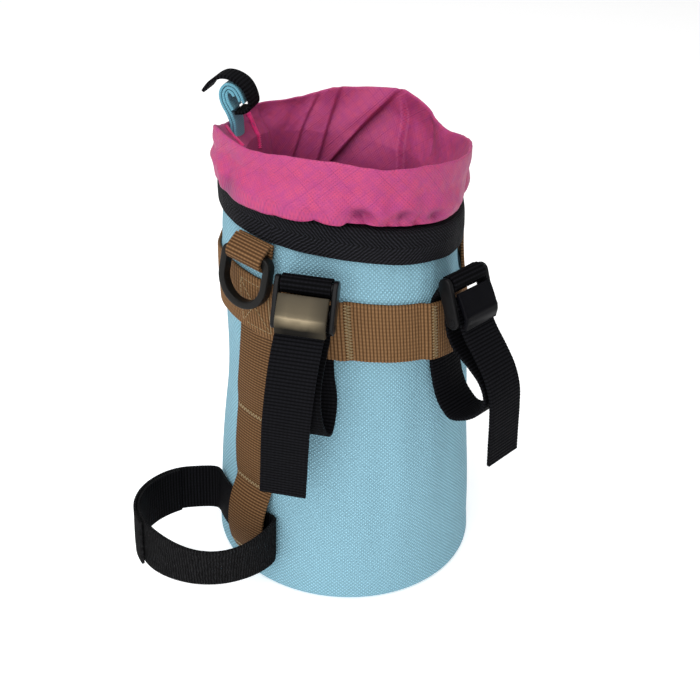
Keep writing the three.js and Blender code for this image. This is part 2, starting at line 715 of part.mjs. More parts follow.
// One length of webbing: round the top bar, behind the band, the free loop, up over the
// middle bar and out under the cam as the tail.
function makeBarStrap({ name, theta, topBar, loop, tail }) {
  const wall = wallReach(theta, BAND_MIDDLE);
  const wrap = (bar) => bar.radius + CLEAR + BLACK_THICK / 2;
  const centre = (bar) => new THREE.Vector2(wall + bar.out, bar.up);
  const least = BAND_GAP + BLACK_THICK / 2;
  const bandLow = BAND_LOW + lift(theta, BAND_LOW);
  const behind = evenly(bandLow + BAND_TALL + BEHIND_BAND, bandLow - BEHIND_BAND, 3).map((up) => {
    return new THREE.Vector3(wallReach(theta, up) + least, up, 0);
  });
  const upright = (points) => points.map((point) => new THREE.Vector3(point.x, point.y, 0));
  const free = (rows) => rows.map((row) => new THREE.Vector3(wall + row.out, row.up, row.side));
  const run = (points, count) => new THREE.CatmullRomCurve3(points).getPoints(count);
  const over = (bar, turn, steps) => upright(arcPoints(centre(bar), wrap(bar), turn.from, turn.to, steps));
  const [topRod, middleRod] = buckleBars(topBar);
  const overTop = over(topRod, TOP_WRAP, STEPS.topWrap);
  const overMiddle = over(middleRod, MIDDLE_WRAP, STEPS.middleWrap);
  const down = run([overTop.at(-1), ...behind, ...free(loop), overMiddle[0]], STEPS.strapLoop);
  down.forEach((point) => point.setX(Math.max(point.x, wallReach(theta, point.y) + least)));
  const hang = run([overMiddle.at(-1), ...free(tail)], STEPS.strapTail);
  const route = [...overTop, ...down.slice(1), ...overMiddle.slice(1), ...hang.slice(1)];
  const path = route.map((point) => new THREE.Vector2(point.x, point.y));
  const geometry = acrossWall(stripOutline(path, BLACK_THICK), BLACK_WIDTH, STEPS.acrossStrap);
  const sides = [];
  movePoints(geometry, (point, i) => {
    const distances = path.map((step) => Math.hypot(step.x - point.x, step.y - point.z));
    sides[i] = route[distances.indexOf(Math.min(...distances))].z;
    return point;
  });
  movePoints(geometry, (point, i) => point.setY(point.y + sides[i]));
  bentToWall(geometry, theta, (out) => 1 - smooth(out, HUG.full, HUG.none));
  const place = outwardGroup(theta);
  place.add(named(`bar_strap_${name}`, closedBody(geometry), BLACK_WEBBING));
  return place;
}

// The tapered outline round two circles
function earOutline(wall, topBar) {
  const top = new THREE.Vector2(wall + EAR_TOP.out, topBar);
  const foot = new THREE.Vector2(wall + EAR_FOOT.out, topBar - EAR_FOOT.drop);
  const axis = foot.clone().sub(top);
  const lie = THREE.MathUtils.radToDeg(axis.angle());
  const flare = THREE.MathUtils.radToDeg(Math.acos((EAR_TOP.radius - EAR_FOOT.radius) / axis.length()));
  return new THREE.Shape([
    ...arcPoints(foot, EAR_FOOT.radius, lie - flare, lie + flare, STEPS.earFoot),
    ...arcPoints(top, EAR_TOP.radius, lie + flare, lie + 360 - flare, STEPS.earTop),
  ]);
}

// Buckle frame: two ears joined by the top bar and the middle bar.
function makeBuckle({ name, theta, topBar }) {
  const wall = wallReach(theta, BAND_MIDDLE);
  const ears = [-1, 1].map((side) => {
    const ear = acrossWall(earOutline(wall, topBar), EAR_THICK);
    return ear.translate(0, side * (EAR_INNER + EAR_THICK / 2), 0);
  });
  const bars = buckleBars(topBar).map((bar) => {
    const rod = new THREE.CylinderGeometry(bar.radius, bar.radius, 2 * EAR_INNER + EAR_THICK, STEPS.bar);
    return rod.translate(wall + bar.out, 0, bar.up);
  });
  const place = outwardGroup(theta);
  place.add(named(`buckle_${name}`, joined([...ears, ...bars]), MATTE_PLASTIC));
  return place;
}

// Curved cam plate between the ears, over the webbing.
function makeCam({ name, theta, topBar }) {
  const wall = wallReach(theta, BAND_MIDDLE);
  const rows = CAM_PLATE.map((row) => ({ up: topBar - row.drop, out: wall + row.out }));
  const outline = stripOutline(curvePoints(rows, STEPS.cam), CAM_THICK);
  const plate = closedBody(acrossWall(outline, 2 * (EAR_INNER - CLEAR)));
  const place = outwardGroup(theta);
  place.add(named(`cam_${name}`, plate, GLOSS_PLASTIC));
  return place;
}

// Hook-and-loop ring: an oval kept clear of the wall, with a second layer at its lap.
function makeWrapStrap() {
  const centre = direction(WRAP.theta).multiplyScalar(WRAP.reach);
  const along = direction(OVAL_TURN + 90);
  const across = direction(OVAL_TURN + 180);
  const steps = STEPS.wrapStrap;
  const turns = evenly(0, 360, steps).slice(0, steps);
  const middle = turns.map((turn) => {
    const point = centre.clone();
    point.addScaledVector(along, WRAP.long * Math.cos(rad(turn)));
    point.addScaledVector(across, WRAP.short * Math.sin(rad(turn)));
    const fromBody = point.clone().sub(bodyCentre(WRAP_LOW));
    const theta = THREE.MathUtils.radToDeg(Math.atan2(fromBody.x, -fromBody.y));
    const least = wallRadius(theta, WRAP_LOW) + WRAP.gap + WRAP_THICK / 2;
    fromBody.setLength(Math.max(fromBody.length(), least));
    return bodyCentre(WRAP_LOW).add(fromBody);
  });
  const offset = (amount) => middle.map((point, i) => {
    const before = middle.at(i - 1);
    const after = middle[(i + 1) % steps];
    const normal = new THREE.Vector2(after.y - before.y, before.x - after.x).normalize();
    return new THREE.Vector2(point.x, point.y).addScaledVector(normal, amount(turns[i]));
  });
  const lap = (turn) => {
    const rise = smooth(turn, WRAP_LAP.start, WRAP_LAP.start + WRAP_LAP.ramp);
    return turn > WRAP_LAP.end ? 0 : WRAP_LAP_THICK * rise;
  };
  const outline = new THREE.Shape(offset((turn) => WRAP_THICK / 2 + lap(turn)));
  outline.holes.push(new THREE.Path(offset(() => -WRAP_THICK / 2)));
  const ring = new THREE.ExtrudeGeometry(outline, { depth: WRAP_WIDTH, bevelEnabled: false });
  ring.translate(0, 0, WRAP_LOW);
  return named('wrap_strap', closedBody(ring), BLACK_WEBBING);
}

// A strip that stands in the upright plane through the hem slot.
function makeSlotStrip(name, rows, width, thickness, material) {
  const path = curvePoints(rows.map((row) => ({ out: row.reach, up: row.up })), STEPS.slotStrip);
  const strip = closedBody(acrossWall(stripOutline(path, thickness), width));
  const place = outwardGroup(SLOT_THETA, bodyCentre(BODY_HEIGHT));
  place.add(named(name, strip, material));
  return place;
}

const bag = new THREE.Group();
bag.add(makeShell(), makeBinding(), makeCollar(), makeBand());
bag.add(makeRingTab(), makeRing(), makeDownStrap(), makeSideTab());
BAR_STRAPS.forEach((row) => bag.add(makeBarStrap(row), makeBuckle(row), makeCam(row)));
bag.add(makeWrapStrap());
bag.add(makeSlotStrip('draw_tape', DRAW_TAPE, TAPE_WIDTH, TAPE_THICK, BLUE_TAPE));
bag.add(makeSlotStrip('pull_tab', PULL_TAB, TAB_WIDTH, TAB_THICK, BLACK_WEBBING));

export default bag;
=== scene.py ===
import bisect
from math import atan2, copysign, cos, degrees, exp, hypot, pi, radians, sin, tau

import bmesh
import bpy
from bpy.props import FloatProperty, FloatVectorProperty, IntProperty, PointerProperty
from mathutils import Matrix, Vector, noise


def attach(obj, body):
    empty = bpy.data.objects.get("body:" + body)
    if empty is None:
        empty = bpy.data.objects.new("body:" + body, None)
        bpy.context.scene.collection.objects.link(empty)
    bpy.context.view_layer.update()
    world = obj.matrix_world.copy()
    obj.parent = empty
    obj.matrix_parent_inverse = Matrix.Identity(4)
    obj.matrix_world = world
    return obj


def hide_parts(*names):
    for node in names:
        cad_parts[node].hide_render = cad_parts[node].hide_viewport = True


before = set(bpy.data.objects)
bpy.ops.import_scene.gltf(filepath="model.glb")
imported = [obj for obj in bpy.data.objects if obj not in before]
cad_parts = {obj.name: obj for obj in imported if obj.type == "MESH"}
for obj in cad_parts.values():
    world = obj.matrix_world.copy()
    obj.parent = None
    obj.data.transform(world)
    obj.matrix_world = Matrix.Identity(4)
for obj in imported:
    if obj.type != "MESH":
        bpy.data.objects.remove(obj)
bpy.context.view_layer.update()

bl_info = {
    "name": "Bicycle stem bag",
    "version": (1, 0, 0),
    "blender": (4, 5, 0),
    "location": "View3D > Sidebar > Stem Bag",
    "description": "Dresses the solids of a bicycle stem bag in cloth, webbing and plastic",
    "category": "Object",
}

# Lengths are in millimetres and angles in degrees, as in the part's source.
# Plan angles run from -Y towards +X, seen from above.
MM = 0.001
CLEAR = 0.3

# The padded body: its blank is round, and the sections below make it an oval.
BODY_RADIUS = 55
BODY_HEIGHT = 170
WALL = 3
BASE_EDGE = 4
WALL_FOOT = 16
OVAL_TURN = 26
RIM_RISE = 7

# The band: its place, and its bulge where each bar strap passes behind it.
BAND_LOW = 118.5
BAND_TALL = 24
BAND_THICK = 1.4
BAND_GAP = 0.4
BAND_ROUND = 53
BAND_LEVEL_LEFT = (45, 95)
BAND_LEVEL_RIGHT = (110, 175)
BAND_BULGE = 1.8
BULGE_FLAT = 10.8
BULGE_RAMP = 5

# The binding over the rim.
BINDING_LOW = 158.6
BINDING_TOP = 171.6
BINDING_THICK = 1.3
BINDING_TURN_IN = 161
BINDING_ROUND = 50
BINDING_ROWS = 26
BINDING_RIB = 1.5
CHEVRON_MIDDLE = 6.5

# Webbing, and the plan angles of the D-ring, the side tab and the hem slot.
BROWN_WIDTH = 20
BROWN_THICK = 1.3
BLACK_WIDTH = 18.4
BLACK_THICK = 1.3
RING_THETA = -9
SIDE_TAB_THETA = 114
SLOT_THETA = -77

# The D-ring and its tab.
RING_BAR_UP = 156.2
RING_BAR_OUT = 4.5
RING_LEAN = 6
RING_SLANT = -6.5
RING_HALF_WIDTH = 11.5
RING_LIMB = 3
RING_DEPTH = 4
RING_DROP = 9.8
RING_CORNER = 3
RING_BEVEL = 0.7
RING_BAR_RISE = 0.15
RING_BAR_MORE = 0.35
RING_ROUNDNESS = 0.32
RING_TAB_WIDTH = 16.2

# The buckles: distance from the wall, drop below the top bar if any, and radius of bars and ears.
TOP_BAR = (7.6, 2)
MIDDLE_BAR = (10.2, 8.9, 1.6)
EAR_TOP = (7.6, 3)
EAR_FOOT = (12.6, 13.2, 2.8)
EAR_INNER = 9.75
EAR_THICK = 2
CAM_THICK = 1.8
CAM_TALL = 15.6
CAM_BOW = 0.5
CAM_LIP = 1.1
CAM_RIDGE = 0.2
PIVOT_RADIUS = 1.3
PIVOT_LENGTH = 0.5

# The bar straps: overlap behind the band, and the distances from the wall where they follow its
# curve fully and not at all.
BEHIND_BAND = 0.8
HUG_FULL = 3
HUG_NONE = 9

# The wrap strap: WRAP_LAP holds the start, end and ramp of its lap, in degrees round it.
WRAP_LOW = 17
WRAP_WIDTH = 22
WRAP_THICK = 1.5
WRAP_THETA = -26
WRAP_REACH = 71.8
WRAP_LONG = 30.2
WRAP_SHORT = 26.3
WRAP_GAP = 0.5
WRAP_LAP = (120, 215, 14)
WRAP_FLARE = 5.5
WRAP_FLARE_AT = 35
WRAP_FLARE_BROAD = 32
WRAP_SETTLE = 32

# The draw tape and its pull tab.
TAPE_WIDTH = 10
TAPE_THICK = 1.1
TAPE_SETTLE = 14
TAB_WIDTH = 11
TAB_THICK = 1.4

# The collar.
COLLAR_FOOT = 150
COLLAR_THICK = 1.4
COLLAR_BELLY = 0.6
COLLAR_ROUND = 51
COLLAR_TALL = 23
COLLAR_ROLL = 5.3
COLLAR_DRAWN = 3.2
FOLD_TALL = 0.45

# Steps along and across a strap, and the soft edge of cut webbing.
STRAP_STEP = 0.3
STRAP_ROWS = 8
SOFT_EDGE = 0.35

# Steps along and across the ring, the cam plates and the draw tape.
RING_GRID = (168, 28)
CAM_GRID = (48, 16)
TAPE_GRID = (100, 8)

# Half the distance over which a line's heading is read.
HEADING_REACH = 0.4

# Shares of the collar's height where its roll over the binding swells and flattens out.
ROLL_SWELLS = (0.01, 0.06)
ROLL_FLATTENS = (0.12, 0.62)

# Rise of the roll's crest, with its middle and half height as such shares; the same two for the sag.
ROLL_CREST = (0.9, 0.035, 0.02)
SAG_AT = (0.115, 0.045)

# Distance past the wall where the cloth starts to sag over the binding, and where it sags fully.
SAG_CLEARS = (2.0, 3.2)

# The laps stay upright below this share.
LAP_FOOT = -0.7

# Half angle of a lap's edge, then depth and reach of the hollow beside it.
LAP_EDGE = 1.3
LAP_HOLLOW = (0.3, 2.5)

# Pitches of weaves and ribs in the finishes.
SHELL_WEAVE = 1.7
RIPSTOP_GRID = 5.6
RIPSTOP_WEAVE = 1.3
WEBBING_THREAD = 1.5
BINDING_THREAD = 1.1
PILE_ROW = 1.1
TAPE_WEAVE = 0.8

# Depths of the noise in the padded wall: overall, below the binding and beside the band.
PAD_RIPPLE = 0.22
BINDING_PUCKER = 0.45
BAND_RIPPLE = 0.3

# The floor's half width in metres and the camera's sensor in millimetres.
FLOOR_HALF = 6
SENSOR = 36

# Height, half widths of the oval, lean of its centre, squareness of its plan.
BODY_SECTIONS = [
    (0, 57.5, 58, 0, 2.0),
    (60, 55, 57, 1.2, 2.1),
    (116, 50.6, 55, 4.0, 2.2),
    (140, 48.4, 54, 6.2, 2.4),
    (178, 46.6, 51.2, 7.4, 2.3),
]

# Plan angle, height, depth, half height and half angle of each soft dent.
DENTS = [(-56, 88, 2.6, 30, 30), (100, 60, 1.6, 34, 34), (196, 96, 2.0, 40, 38)]

# Small hollows that the band, the binding and the straps press in, with the dents' columns.
HOLLOWS = [
    (24, 149, 1.5, 6, 11),
    (50, 150, 1.1, 7, 9),
    (38, 146, 0.7, 5, 20),
    (-34, 104, 1.2, 12, 9),
    (96, 100, 1.4, 14, 10),
    (60, 98, 0.8, 16, 16),
    (140, 134, 1.0, 20, 18),
    (236, 120, 1.2, 24, 20),
    (20, 40, 0.8, 22, 20),
    (64, 30, 0.9, 20, 16),
    (28, 74, 1.0, 26, 7),
    (42, 58, 1.1, 34, 6),
    (60, 78, 0.8, 24, 7),
    (76, 52, 1.0, 30, 8),
]

# Plan angle, reach from the mouth's centre and height of the collar's rim.
COLLAR_RIM = [
    (-42, 51, 194.5),
    (-13, 51.7, 193.5),
    (9, 52.4, 195),
    (28, 52.9, 194.3),
    (43, 54.3, 192.5),
    (59, 53.8, 192),
    (86, 51.8, 189.5),
    (116, 49.2, 187),
    (146, 48.6, 183.5),
    (182, 53.8, 190.5),
    (213, 49.3, 190),
    (232, 48.1, 187.5),
    (257, 47.4, 188),
    (283, 47, 186.5),
    (304, 48.5, 190.5),
]

# Plan angle at the rim and at the foot, push, half angle and height of each fold.
COLLAR_FOLDS = [
    (187, 210, -2.0, 7, 0.5),
    (172, 188, 1.6, 7, 0.4),
    (216, 225, -1.6, 6, 0.5),
    (240, 246, -1.4, 8, 0.4),
    (150, 140, -2.2, 12, 0.7),
    (30, 34, -1.5, 5, 0.14),
    (46, 48, -1.3, 4.5, 0.18),
    (60, 61, -1.5, 5, 0.14),
    (-26, -22, -1.2, 6, 0.3),
    (100, 96, -1.6, 9, 0.3),
]

# Sharp creases: plan angle at the rim and at the foot, push, width, from and to height.
COLLAR_CREASES = [
    (160, 150, 1.2, 3.0, -0.2, 0.9),
    (-34, -20, -1.4, 4.0, 0.16, 0.42),
    (-12, -6, -0.8, 3.0, 0.16, 0.4),
    (34, 37, -2.6, 2.4, 0.04, 0.24),
    (44, 46, -2.2, 2.0, 0.04, 0.2),
    (52, 51, -2.6, 2.2, 0.04, 0.22),
    (61, 58, -2.4, 2.4, 0.04, 0.24),
    (10, 18, -0.7, 2.4, 0.05, 0.4),
    (-60, -52, -1.0, 2.6, 0.05, 0.6),
    (108, 100, -1.0, 2.6, 0.05, 0.7),
    (270, 262, -0.9, 2.4, 0.05, 0.7),
    (300, 292, -0.8, 2.2, 0.1, 0.8),
]

# Laps at the back: plan angle at the rim and at the foot, depth and how far it fades.
COLLAR_LAPS = [
    (181, 202, 3.9, 13),
    (181, 174, 3.4, 9),
    (209, 217, 2.4, 7),
    (220, 231, 1.6, 6),
    (258, 254, 1.2, 8),
]

# Plan angle, height, depth and half angle of the dimples above the binding.
COLLAR_DIMPLES = [(35, 0.24, 3.0, 3.6), (52, 0.25, 2.8, 3.2), (67, 0.2, 2.6, 3.2)]

# Plan angle, amount and half angle of the collar's sag over the binding, of the places where
# its roll is held back, and of the place where its inside is drawn in most.
COLLAR_SAG = [(40, 1.4, 40), (-18, 4.6, 36)]
COLLAR_HELD = [(100, 1.5, 30), (-75, 2.8, 28)]
COLLAR_DRAWN_IN = [(192, 2.4, 45)]

# Plan angle and height of the peaks that the stiff hem makes at the back.
COLLAR_CORNERS = [(183, 1.3), (213, 1.1)]

# Height, distance from the wall and shift along it of the down strap; its top is under the band.
DOWN_STRAP = [
    (126, 0.7, 2.1),
    (121.5, 0.8, 1.6),
    (105, 1.7, 0.2),
    (94, 1.6, -1.2),
    (85, 1.0, -1.6),
    (78, 1.5, -1.6),
    (67, 2.0, -1.6),
    (57, 1.6, -1.6),
    (50, 1.0, -1.6),
    (45, 3.4, -1.6),
    (39, 5.7, -1.6),
    (28, 6.8, -1.6),
    (20, 5.2, -1.6),
    (16, 3.5, -1.6),
    (12, 1.4, -1.6),
]

# Each bar strap: distance from the wall, height and sideways shift of its loop and tail.
BAR_STRAPS = {
    "left": {
        "theta": 15.2,
        "top_bar": 151.2,
        "loop": [
            (2.6, 112, 0.8),
            (4.4, 103, 2.6),
            (7.2, 96, 3),
            (11.5, 92.2, 2.8),
            (16, 94.5, 2),
            (19, 100, 1),
            (19.8, 107, 0),
            (18, 114, -0.6),
            (14, 119.5, -0.8),
            (10.4, 124.8, -0.5),
            (8.4, 130.5, 0),
        ],
        "tail": [
            (13.6, 139, 0),
            (15.6, 135.3, -0.4),
            (18.2, 130.2, -0.9),
            (20.9, 121, -1.7),
            (22.4, 110, -2.5),
            (22.3, 100, -3.3),
            (20.8, 88, -4.1),
            (18.6, 76, -4.9),
            (16.8, 64, -5.6),
        ],
    },
    "right": {
        "theta": 74.5,
        "top_bar": 147.2,
        "loop": [
            (4, 107, 0),
            (6.4, 100, 0),
            (9.4, 95, 0),
            (14, 91.8, 0),
            (20.5, 94, 0),
            (26.5, 99, 0),
            (29.3, 105.5, 0),
            (26.8, 112, 0),
            (20.3, 117.5, 0),
            (13.3, 121.8, 0),
            (9.5, 127, 0),
            (8, 133, 0),
        ],
        "tail": [
            (13.6, 135, 0),
            (15.6, 131.5, 0),
            (18.6, 127.3, 0),
            (23.6, 121.6, 0),
            (28.6, 115, 0),
            (31.8, 107.5, 0),
            (33, 99, 0),
            (33.6, 90, 0),
            (34.4, 79, 0),
        ],
    },
}

# Side profile of the cam plate: distance from the wall and drop below the top bar.
CAM_PLATE = [(12.2, 2), (14.7, 7), (16.9, 11.6), (18.1, 15.3)]

# Share of the way down the left cam plate and the tone of its painted reflection there: a painted highlight
# line near 0.61 and painted shade along the lower lip.
CAM_REFLECTION_TONES = [
    (0, 0.2), (0.12, 0.42), (0.45, 0.6), (0.55, 0.85), (0.61, 2.0), (0.67, 1.1), (0.76, 0.45), (0.82, 0.03),
    (1, 0.02),
]

# The draw tape and its pull tab in the upright plane of the hem slot: reach and height.
DRAW_TAPE = [
    (43.5, 179.8),
    (43.5, 182),
    (43.7, 184.5),
    (43.8, 187),
    (45.25, 191),
    (47.75, 195.5),
    (48.25, 199.5),
    (46.05, 202.2),
    (43.05, 201.4),
    (40.95, 198.4),
    (39.95, 195.6),
]
PULL_TAB = [
    (43.05, 191.8),
    (39.05, 192.6),
    (36.85, 194.6),
    (37.45, 198.6),
    (40.05, 202.8),
    (44.45, 205.2),
    (48.85, 205.4),
    (52.85, 203),
    (56.05, 199),
]

# Layers of the rolled draw tape: name, distance from its line and share of its length.
TAPE_LAYERS = [("outer", -0.68, (0, 1)), ("inner", 0.68, (0, 0.97)), ("core", 2.05, (0.36, 0.88))]

# Plan angles of the bartacks on the band; plan angle and half sizes of its crossed box seam.
BAND_TACKS = (29.7, 64.5)
BOX_SEAM = (-8, 6.5, 9)

# Height and slant of the seams across the down strap, and half their length.
STRAP_SEAMS = [(84, 0.05), (51, 0.05), (14, 0), (18.5, 0)]
STRAP_SEAM_HALF = 9

# Bartacks beside the hem slot: turn from it, lower and upper end and width.
HEM_TACKS = [(-18, -0.25, 0.85, 3.6), (9, 0.1, 0.95, 4)]
HEM_TALL = 15
HEM_ROUND = 48

# Name, plan angle, angle above the floor, then distance and size in metres of each softbox.
SOFTBOXES = [("key", 4, 24, 1.1, 0.9), ("top", 0, 70, 1.2, 1.2), ("right", 110, 35, 1.3, 0.8)]


# Curves and surfaces

def smooth(value, low, high):
    share = min(max((value - low) / (high - low), 0), 1)
    return share * share * (3 - 2 * share)


def bell(distance, half):
    return exp(-((distance / half) ** 2))


def turn_between(a, b):
    return (a - b + 180) % 360 - 180


def bells_round(theta, rows):
    """Soft swells round the bag, each given by its plan angle, amount and half angle."""
    return sum(amount * bell(turn_between(theta, at), broad) for at, amount, broad in rows)


def outward(theta):
    return Vector((sin(radians(theta)), -cos(radians(theta)), 0))


def table_curve(rows):
    """A smooth curve through a table: its first column in, the other columns out."""
    keys = [row[0] for row in rows]
    last = len(rows) - 1

    def at(key):
        key = min(max(key, keys[0]), keys[-1])
        i = min(max(bisect.bisect_right(keys, key), 1), last)
        start, end = keys[i - 1], keys[i]
        before = i - 2 if i > 1 else i
        after = i + 1 if i < last else i - 1
        half = (end - start) / 2
        lead = half / (start - keys[before])
        trail = half / (keys[after] - end)
        p = (key - start) / (end - start)
        weights = (
            -lead * p**3 + 2 * lead * p**2 - lead * p,
            (1 + lead) * p**3 - (1.5 + 2 * lead) * p**2 + (lead - 0.5) * p + 1,
            (1.5 + trail) * p**2 - (1 + trail) * p**3 + 0.5 * p,
            trail * p**3 - trail * p**2,
        )
        columns = zip(rows[before][1:], rows[i - 1][1:], rows[i][1:], rows[after][1:])
        return [sum(w * c for w, c in zip(weights, column)) for column in columns]

    return at


def spline(points, steps=10):
    """A round curve through points, with steps between each pair."""
    points = [Vector(point) for point in points]
    ends = [2 * points[0] - points[1], *points, 2 * points[-1] - points[-2]]
    curve = []
    for a, b, c, d in zip(ends, ends[1:], ends[2:], ends[3:]):
        knots = [0]
        for p, q in ((a, b), (b, c), (c, d)):
            knots.append(knots[-1] + max((q - p).length, 1e-6) ** 0.5)
        t0, t1, t2, t3 = knots
        for step in range(steps):
            t = t1 + (t2 - t1) * step / steps
            ab = a + (b - a) * ((t - t0) / (t1 - t0))
            bc = b + (c - b) * ((t - t1) / (t2 - t1))
            cd = c + (d - c) * ((t - t2) / (t3 - t2))
            abc = ab + (bc - ab) * ((t - t0) / (t2 - t0))
            bcd = bc + (cd - bc) * ((t - t1) / (t3 - t1))
            curve.append(abc + (bcd - abc) * ((t - t1) / (t2 - t1)))
    return [*curve, points[-1]]


def arc(centre, radius, start, end, steps):
    x, y = centre
    turns = [radians(start + (end - start) * i / steps) for i in range(steps + 1)]
    return [Vector((x + radius * cos(turn), y + radius * sin(turn))) for turn in turns]


def settle(points, rounds):
    """Evens out a line of points between its ends."""
    for _ in range(rounds):
        points[1:-1] = [(a + 2 * b + c) / 4 for a, b, c in zip(points, points[1:], points[2:])]


class Run:
    """A line that is read by the distance along it."""

    def __init__(self, points):
        self.points = [Vector(point) for point in points]
        self.marks = [0]
        for a, b in zip(self.points, self.points[1:]):
            self.marks.append(self.marks[-1] + (b - a).length)
        self.length = self.marks[-1]

    def at(self, distance):
        i = min(max(bisect.bisect_right(self.marks, distance), 1), len(self.marks) - 1)
        span = max(self.marks[i] - self.marks[i - 1], 1e-9)
        return self.points[i - 1].lerp(self.points[i], (distance - self.marks[i - 1]) / span)

    def heading(self, distance):
        low = max(distance - HEADING_REACH, 0)
        high = min(distance + HEADING_REACH, self.length)
        return (self.at(high) - self.at(low)).normalized()


body_section = table_curve(BODY_SECTIONS)
collar_rim = table_curve([(row[0] + turn, *row[1:]) for turn in (-360, 0, 360) for row in COLLAR_RIM])


def body_centre(z):
    return outward(OVAL_TURN - 90) * body_section(z)[2]


def lift(theta, z):
    """Rise of the slanted rim, binding and band above their mean height."""
    return -RIM_RISE * sin(radians(theta - OVAL_TURN)) * smooth(z, WALL_FOOT, BAND_LOW)


def band_lift(theta):
    """The band follows the rim's slant in front and runs level at the left and the back."""
    turn = turn_between(theta, OVAL_TURN)
    level = BAND_LEVEL_LEFT if turn < 0 else BAND_LEVEL_RIGHT
    return lift(theta, BAND_LOW) * (1 - smooth(abs(turn), *level))


def wall_radius(theta, z):
    """Reach of the dented oval from its own centre."""
    wide, deep, _, square = body_section(z)
    turn = radians(theta - OVAL_TURN)
    plain = ((abs(sin(turn)) / wide) ** square + (abs(cos(turn)) / deep) ** square) ** (-1 / square)
    for at, height, depth, tall, broad in DENTS:
        plain -= depth * bell(turn_between(theta, at), broad) * bell(z - height, tall)
    return plain


def on_wall(theta, z, out):
    return body_centre(z) + outward(theta) * (wall_radius(theta, z) + out) + Vector((0, 0, z))


BAND_MIDDLE = BAND_LOW + BAND_TALL / 2
BAND_CENTRE = body_centre(BAND_MIDDLE)


def wall_reach(theta, z):
    """Distance to the wall from the upright line at the band's centre."""
    shift = BAND_CENTRE - body_centre(z)
    ahead = outward(theta)
    reach = BODY_RADIUS
    for _ in range(7):
        point = shift + ahead * reach
        reach += wall_radius(degrees(atan2(point.x, -point.y)), z) - hypot(point.x, point.y)
    return reach


def from_band(theta, out, side, up):
    """A point given outwards from the band's centre, along the wall and upwards."""
    return BAND_CENTRE + outward(theta) * out + outward(theta + 90) * side + Vector((0, 0, up))


def bent(theta, out, side, up, hug=True):
    """Such a point with the strap bent across its width to the wall's curve."""
    wall = wall_reach(theta, up)
    share = 1 - smooth(out - wall, HUG_FULL, HUG_NONE) if hug else 1
    if share > 0:
        turn = atan2(side, wall)
        out -= share * (wall - wall_reach(theta + degrees(turn), up) * cos(turn))
    return from_band(theta, out, side, up)


def ring_place():
    """The D-ring's hinge: its place and its slant along the binding."""
    hinge = wall_reach(RING_THETA, RING_BAR_UP) + RING_BAR_OUT
    return (
        Matrix.Translation(BAND_CENTRE + Vector((0, 0, RING_BAR_UP)))
        @ Matrix.Rotation(radians(RING_THETA - 90), 4, "Z")
        @ Matrix.Rotation(radians(RING_SLANT), 4, "X")
        @ Matrix.Translation((hinge, 0, 0))
    )


# Materials

class Finish:
    """One procedural material, wired as its nodes are made."""

    def __init__(self, name, colour, roughness, **sockets):
        self.material = bpy.data.materials.new(name)
        self.material.use_nodes = True
        self.tree = self.material.node_tree
        self.shader = self.tree.nodes["Principled BSDF"]
        self.shader.inputs["Base Color"].default_value = (*colour, 1)
        self.shader.inputs["Roughness"].default_value = roughness
        for socket, value in sockets.items():
            self.shader.inputs[socket.replace("_", " ")].default_value = value

    def add(self, kind, output=0, inputs=(), **settings):
        node = self.tree.nodes.new(kind)
        for name, value in settings.items():
            setattr(node, name, value)
        for socket, value in dict(inputs).items():
            if isinstance(value, bpy.types.NodeSocket):
                self.tree.links.new(value, node.inputs[socket])
            else:
                node.inputs[socket].default_value = value
        return node.outputs[output]

    def math(self, operation, a, b=0.0):
        return self.add("ShaderNodeMath", inputs={0: a, 1: b}, operation=operation)

    def uv(self):
        """Distances along and across the cloth, in millimetres."""
        place = self.add("ShaderNodeUVMap", uv_map="UVMap")
        split = self.tree.nodes.new("ShaderNodeSeparateXYZ")
        self.tree.links.new(place, split.inputs[0])
        return split.outputs[0], split.outputs[1]

    def wave(self, distance, pitch):
        """0 to 1 and back over each pitch."""
        turned = self.math("SINE", self.math("MULTIPLY", distance, tau / pitch))
        return self.math("ADD", self.math("MULTIPLY", turned, 0.5), 0.5)

    def slants(self, pitch):
        """Waves along both slants of the cloth."""
        along, across = self.uv()
        return [self.wave(self.math(way, along, across), pitch) for way in ("ADD", "SUBTRACT")]

    def grain(self, scale, detail):
        """Noise that stays with the bag."""
        place = self.add("ShaderNodeTexCoord", "Object")
        return self.add("ShaderNodeTexNoise", inputs={"Vector": place, "Scale": scale, "Detail": detail})

    def stretch(self, value, low, high):
        """The range from low to high drawn out to 0 to 1."""
        return self.add("ShaderNodeMapRange", inputs={"Value": value, "From Min": low, "From Max": high})

    def raise_low(self, value, least):
        """A value of 0 to 1 brought up to run from least to 1."""
        return self.math("ADD", self.math("MULTIPLY", value, 1 - least), least)

    def mix(self, share, a, b):
        """A blend of two colours; the node's colour sockets are known by number."""
        first, second = ((*end, 1) if isinstance(end, tuple) else end for end in (a, b))
        return self.add("ShaderNodeMix", 2, {0: share, 6: first, 7: second}, data_type="RGBA")

    def colour(self, value):
        self.tree.links.new(value, self.shader.inputs["Base Color"])

    def bump(self, height, distance, strength):
        depth = {"Height": height, "Distance": distance * MM, "Strength": strength}
        raised = self.add("ShaderNodeBump", inputs=depth)
        self.tree.links.new(raised, self.shader.inputs["Normal"])

    def roughness(self, value, low, high):
        spread = self.add("ShaderNodeMapRange", inputs={"Value": value, "To Min": low, "To Max": high})
        self.tree.links.new(spread, self.shader.inputs["Roughness"])


def shade(colour, factor):
    return tuple(min(c * factor, 1) for c in colour)


def channel_scaled(colour, factors):
    return tuple(c * factor for c, factor in zip(colour, factors))


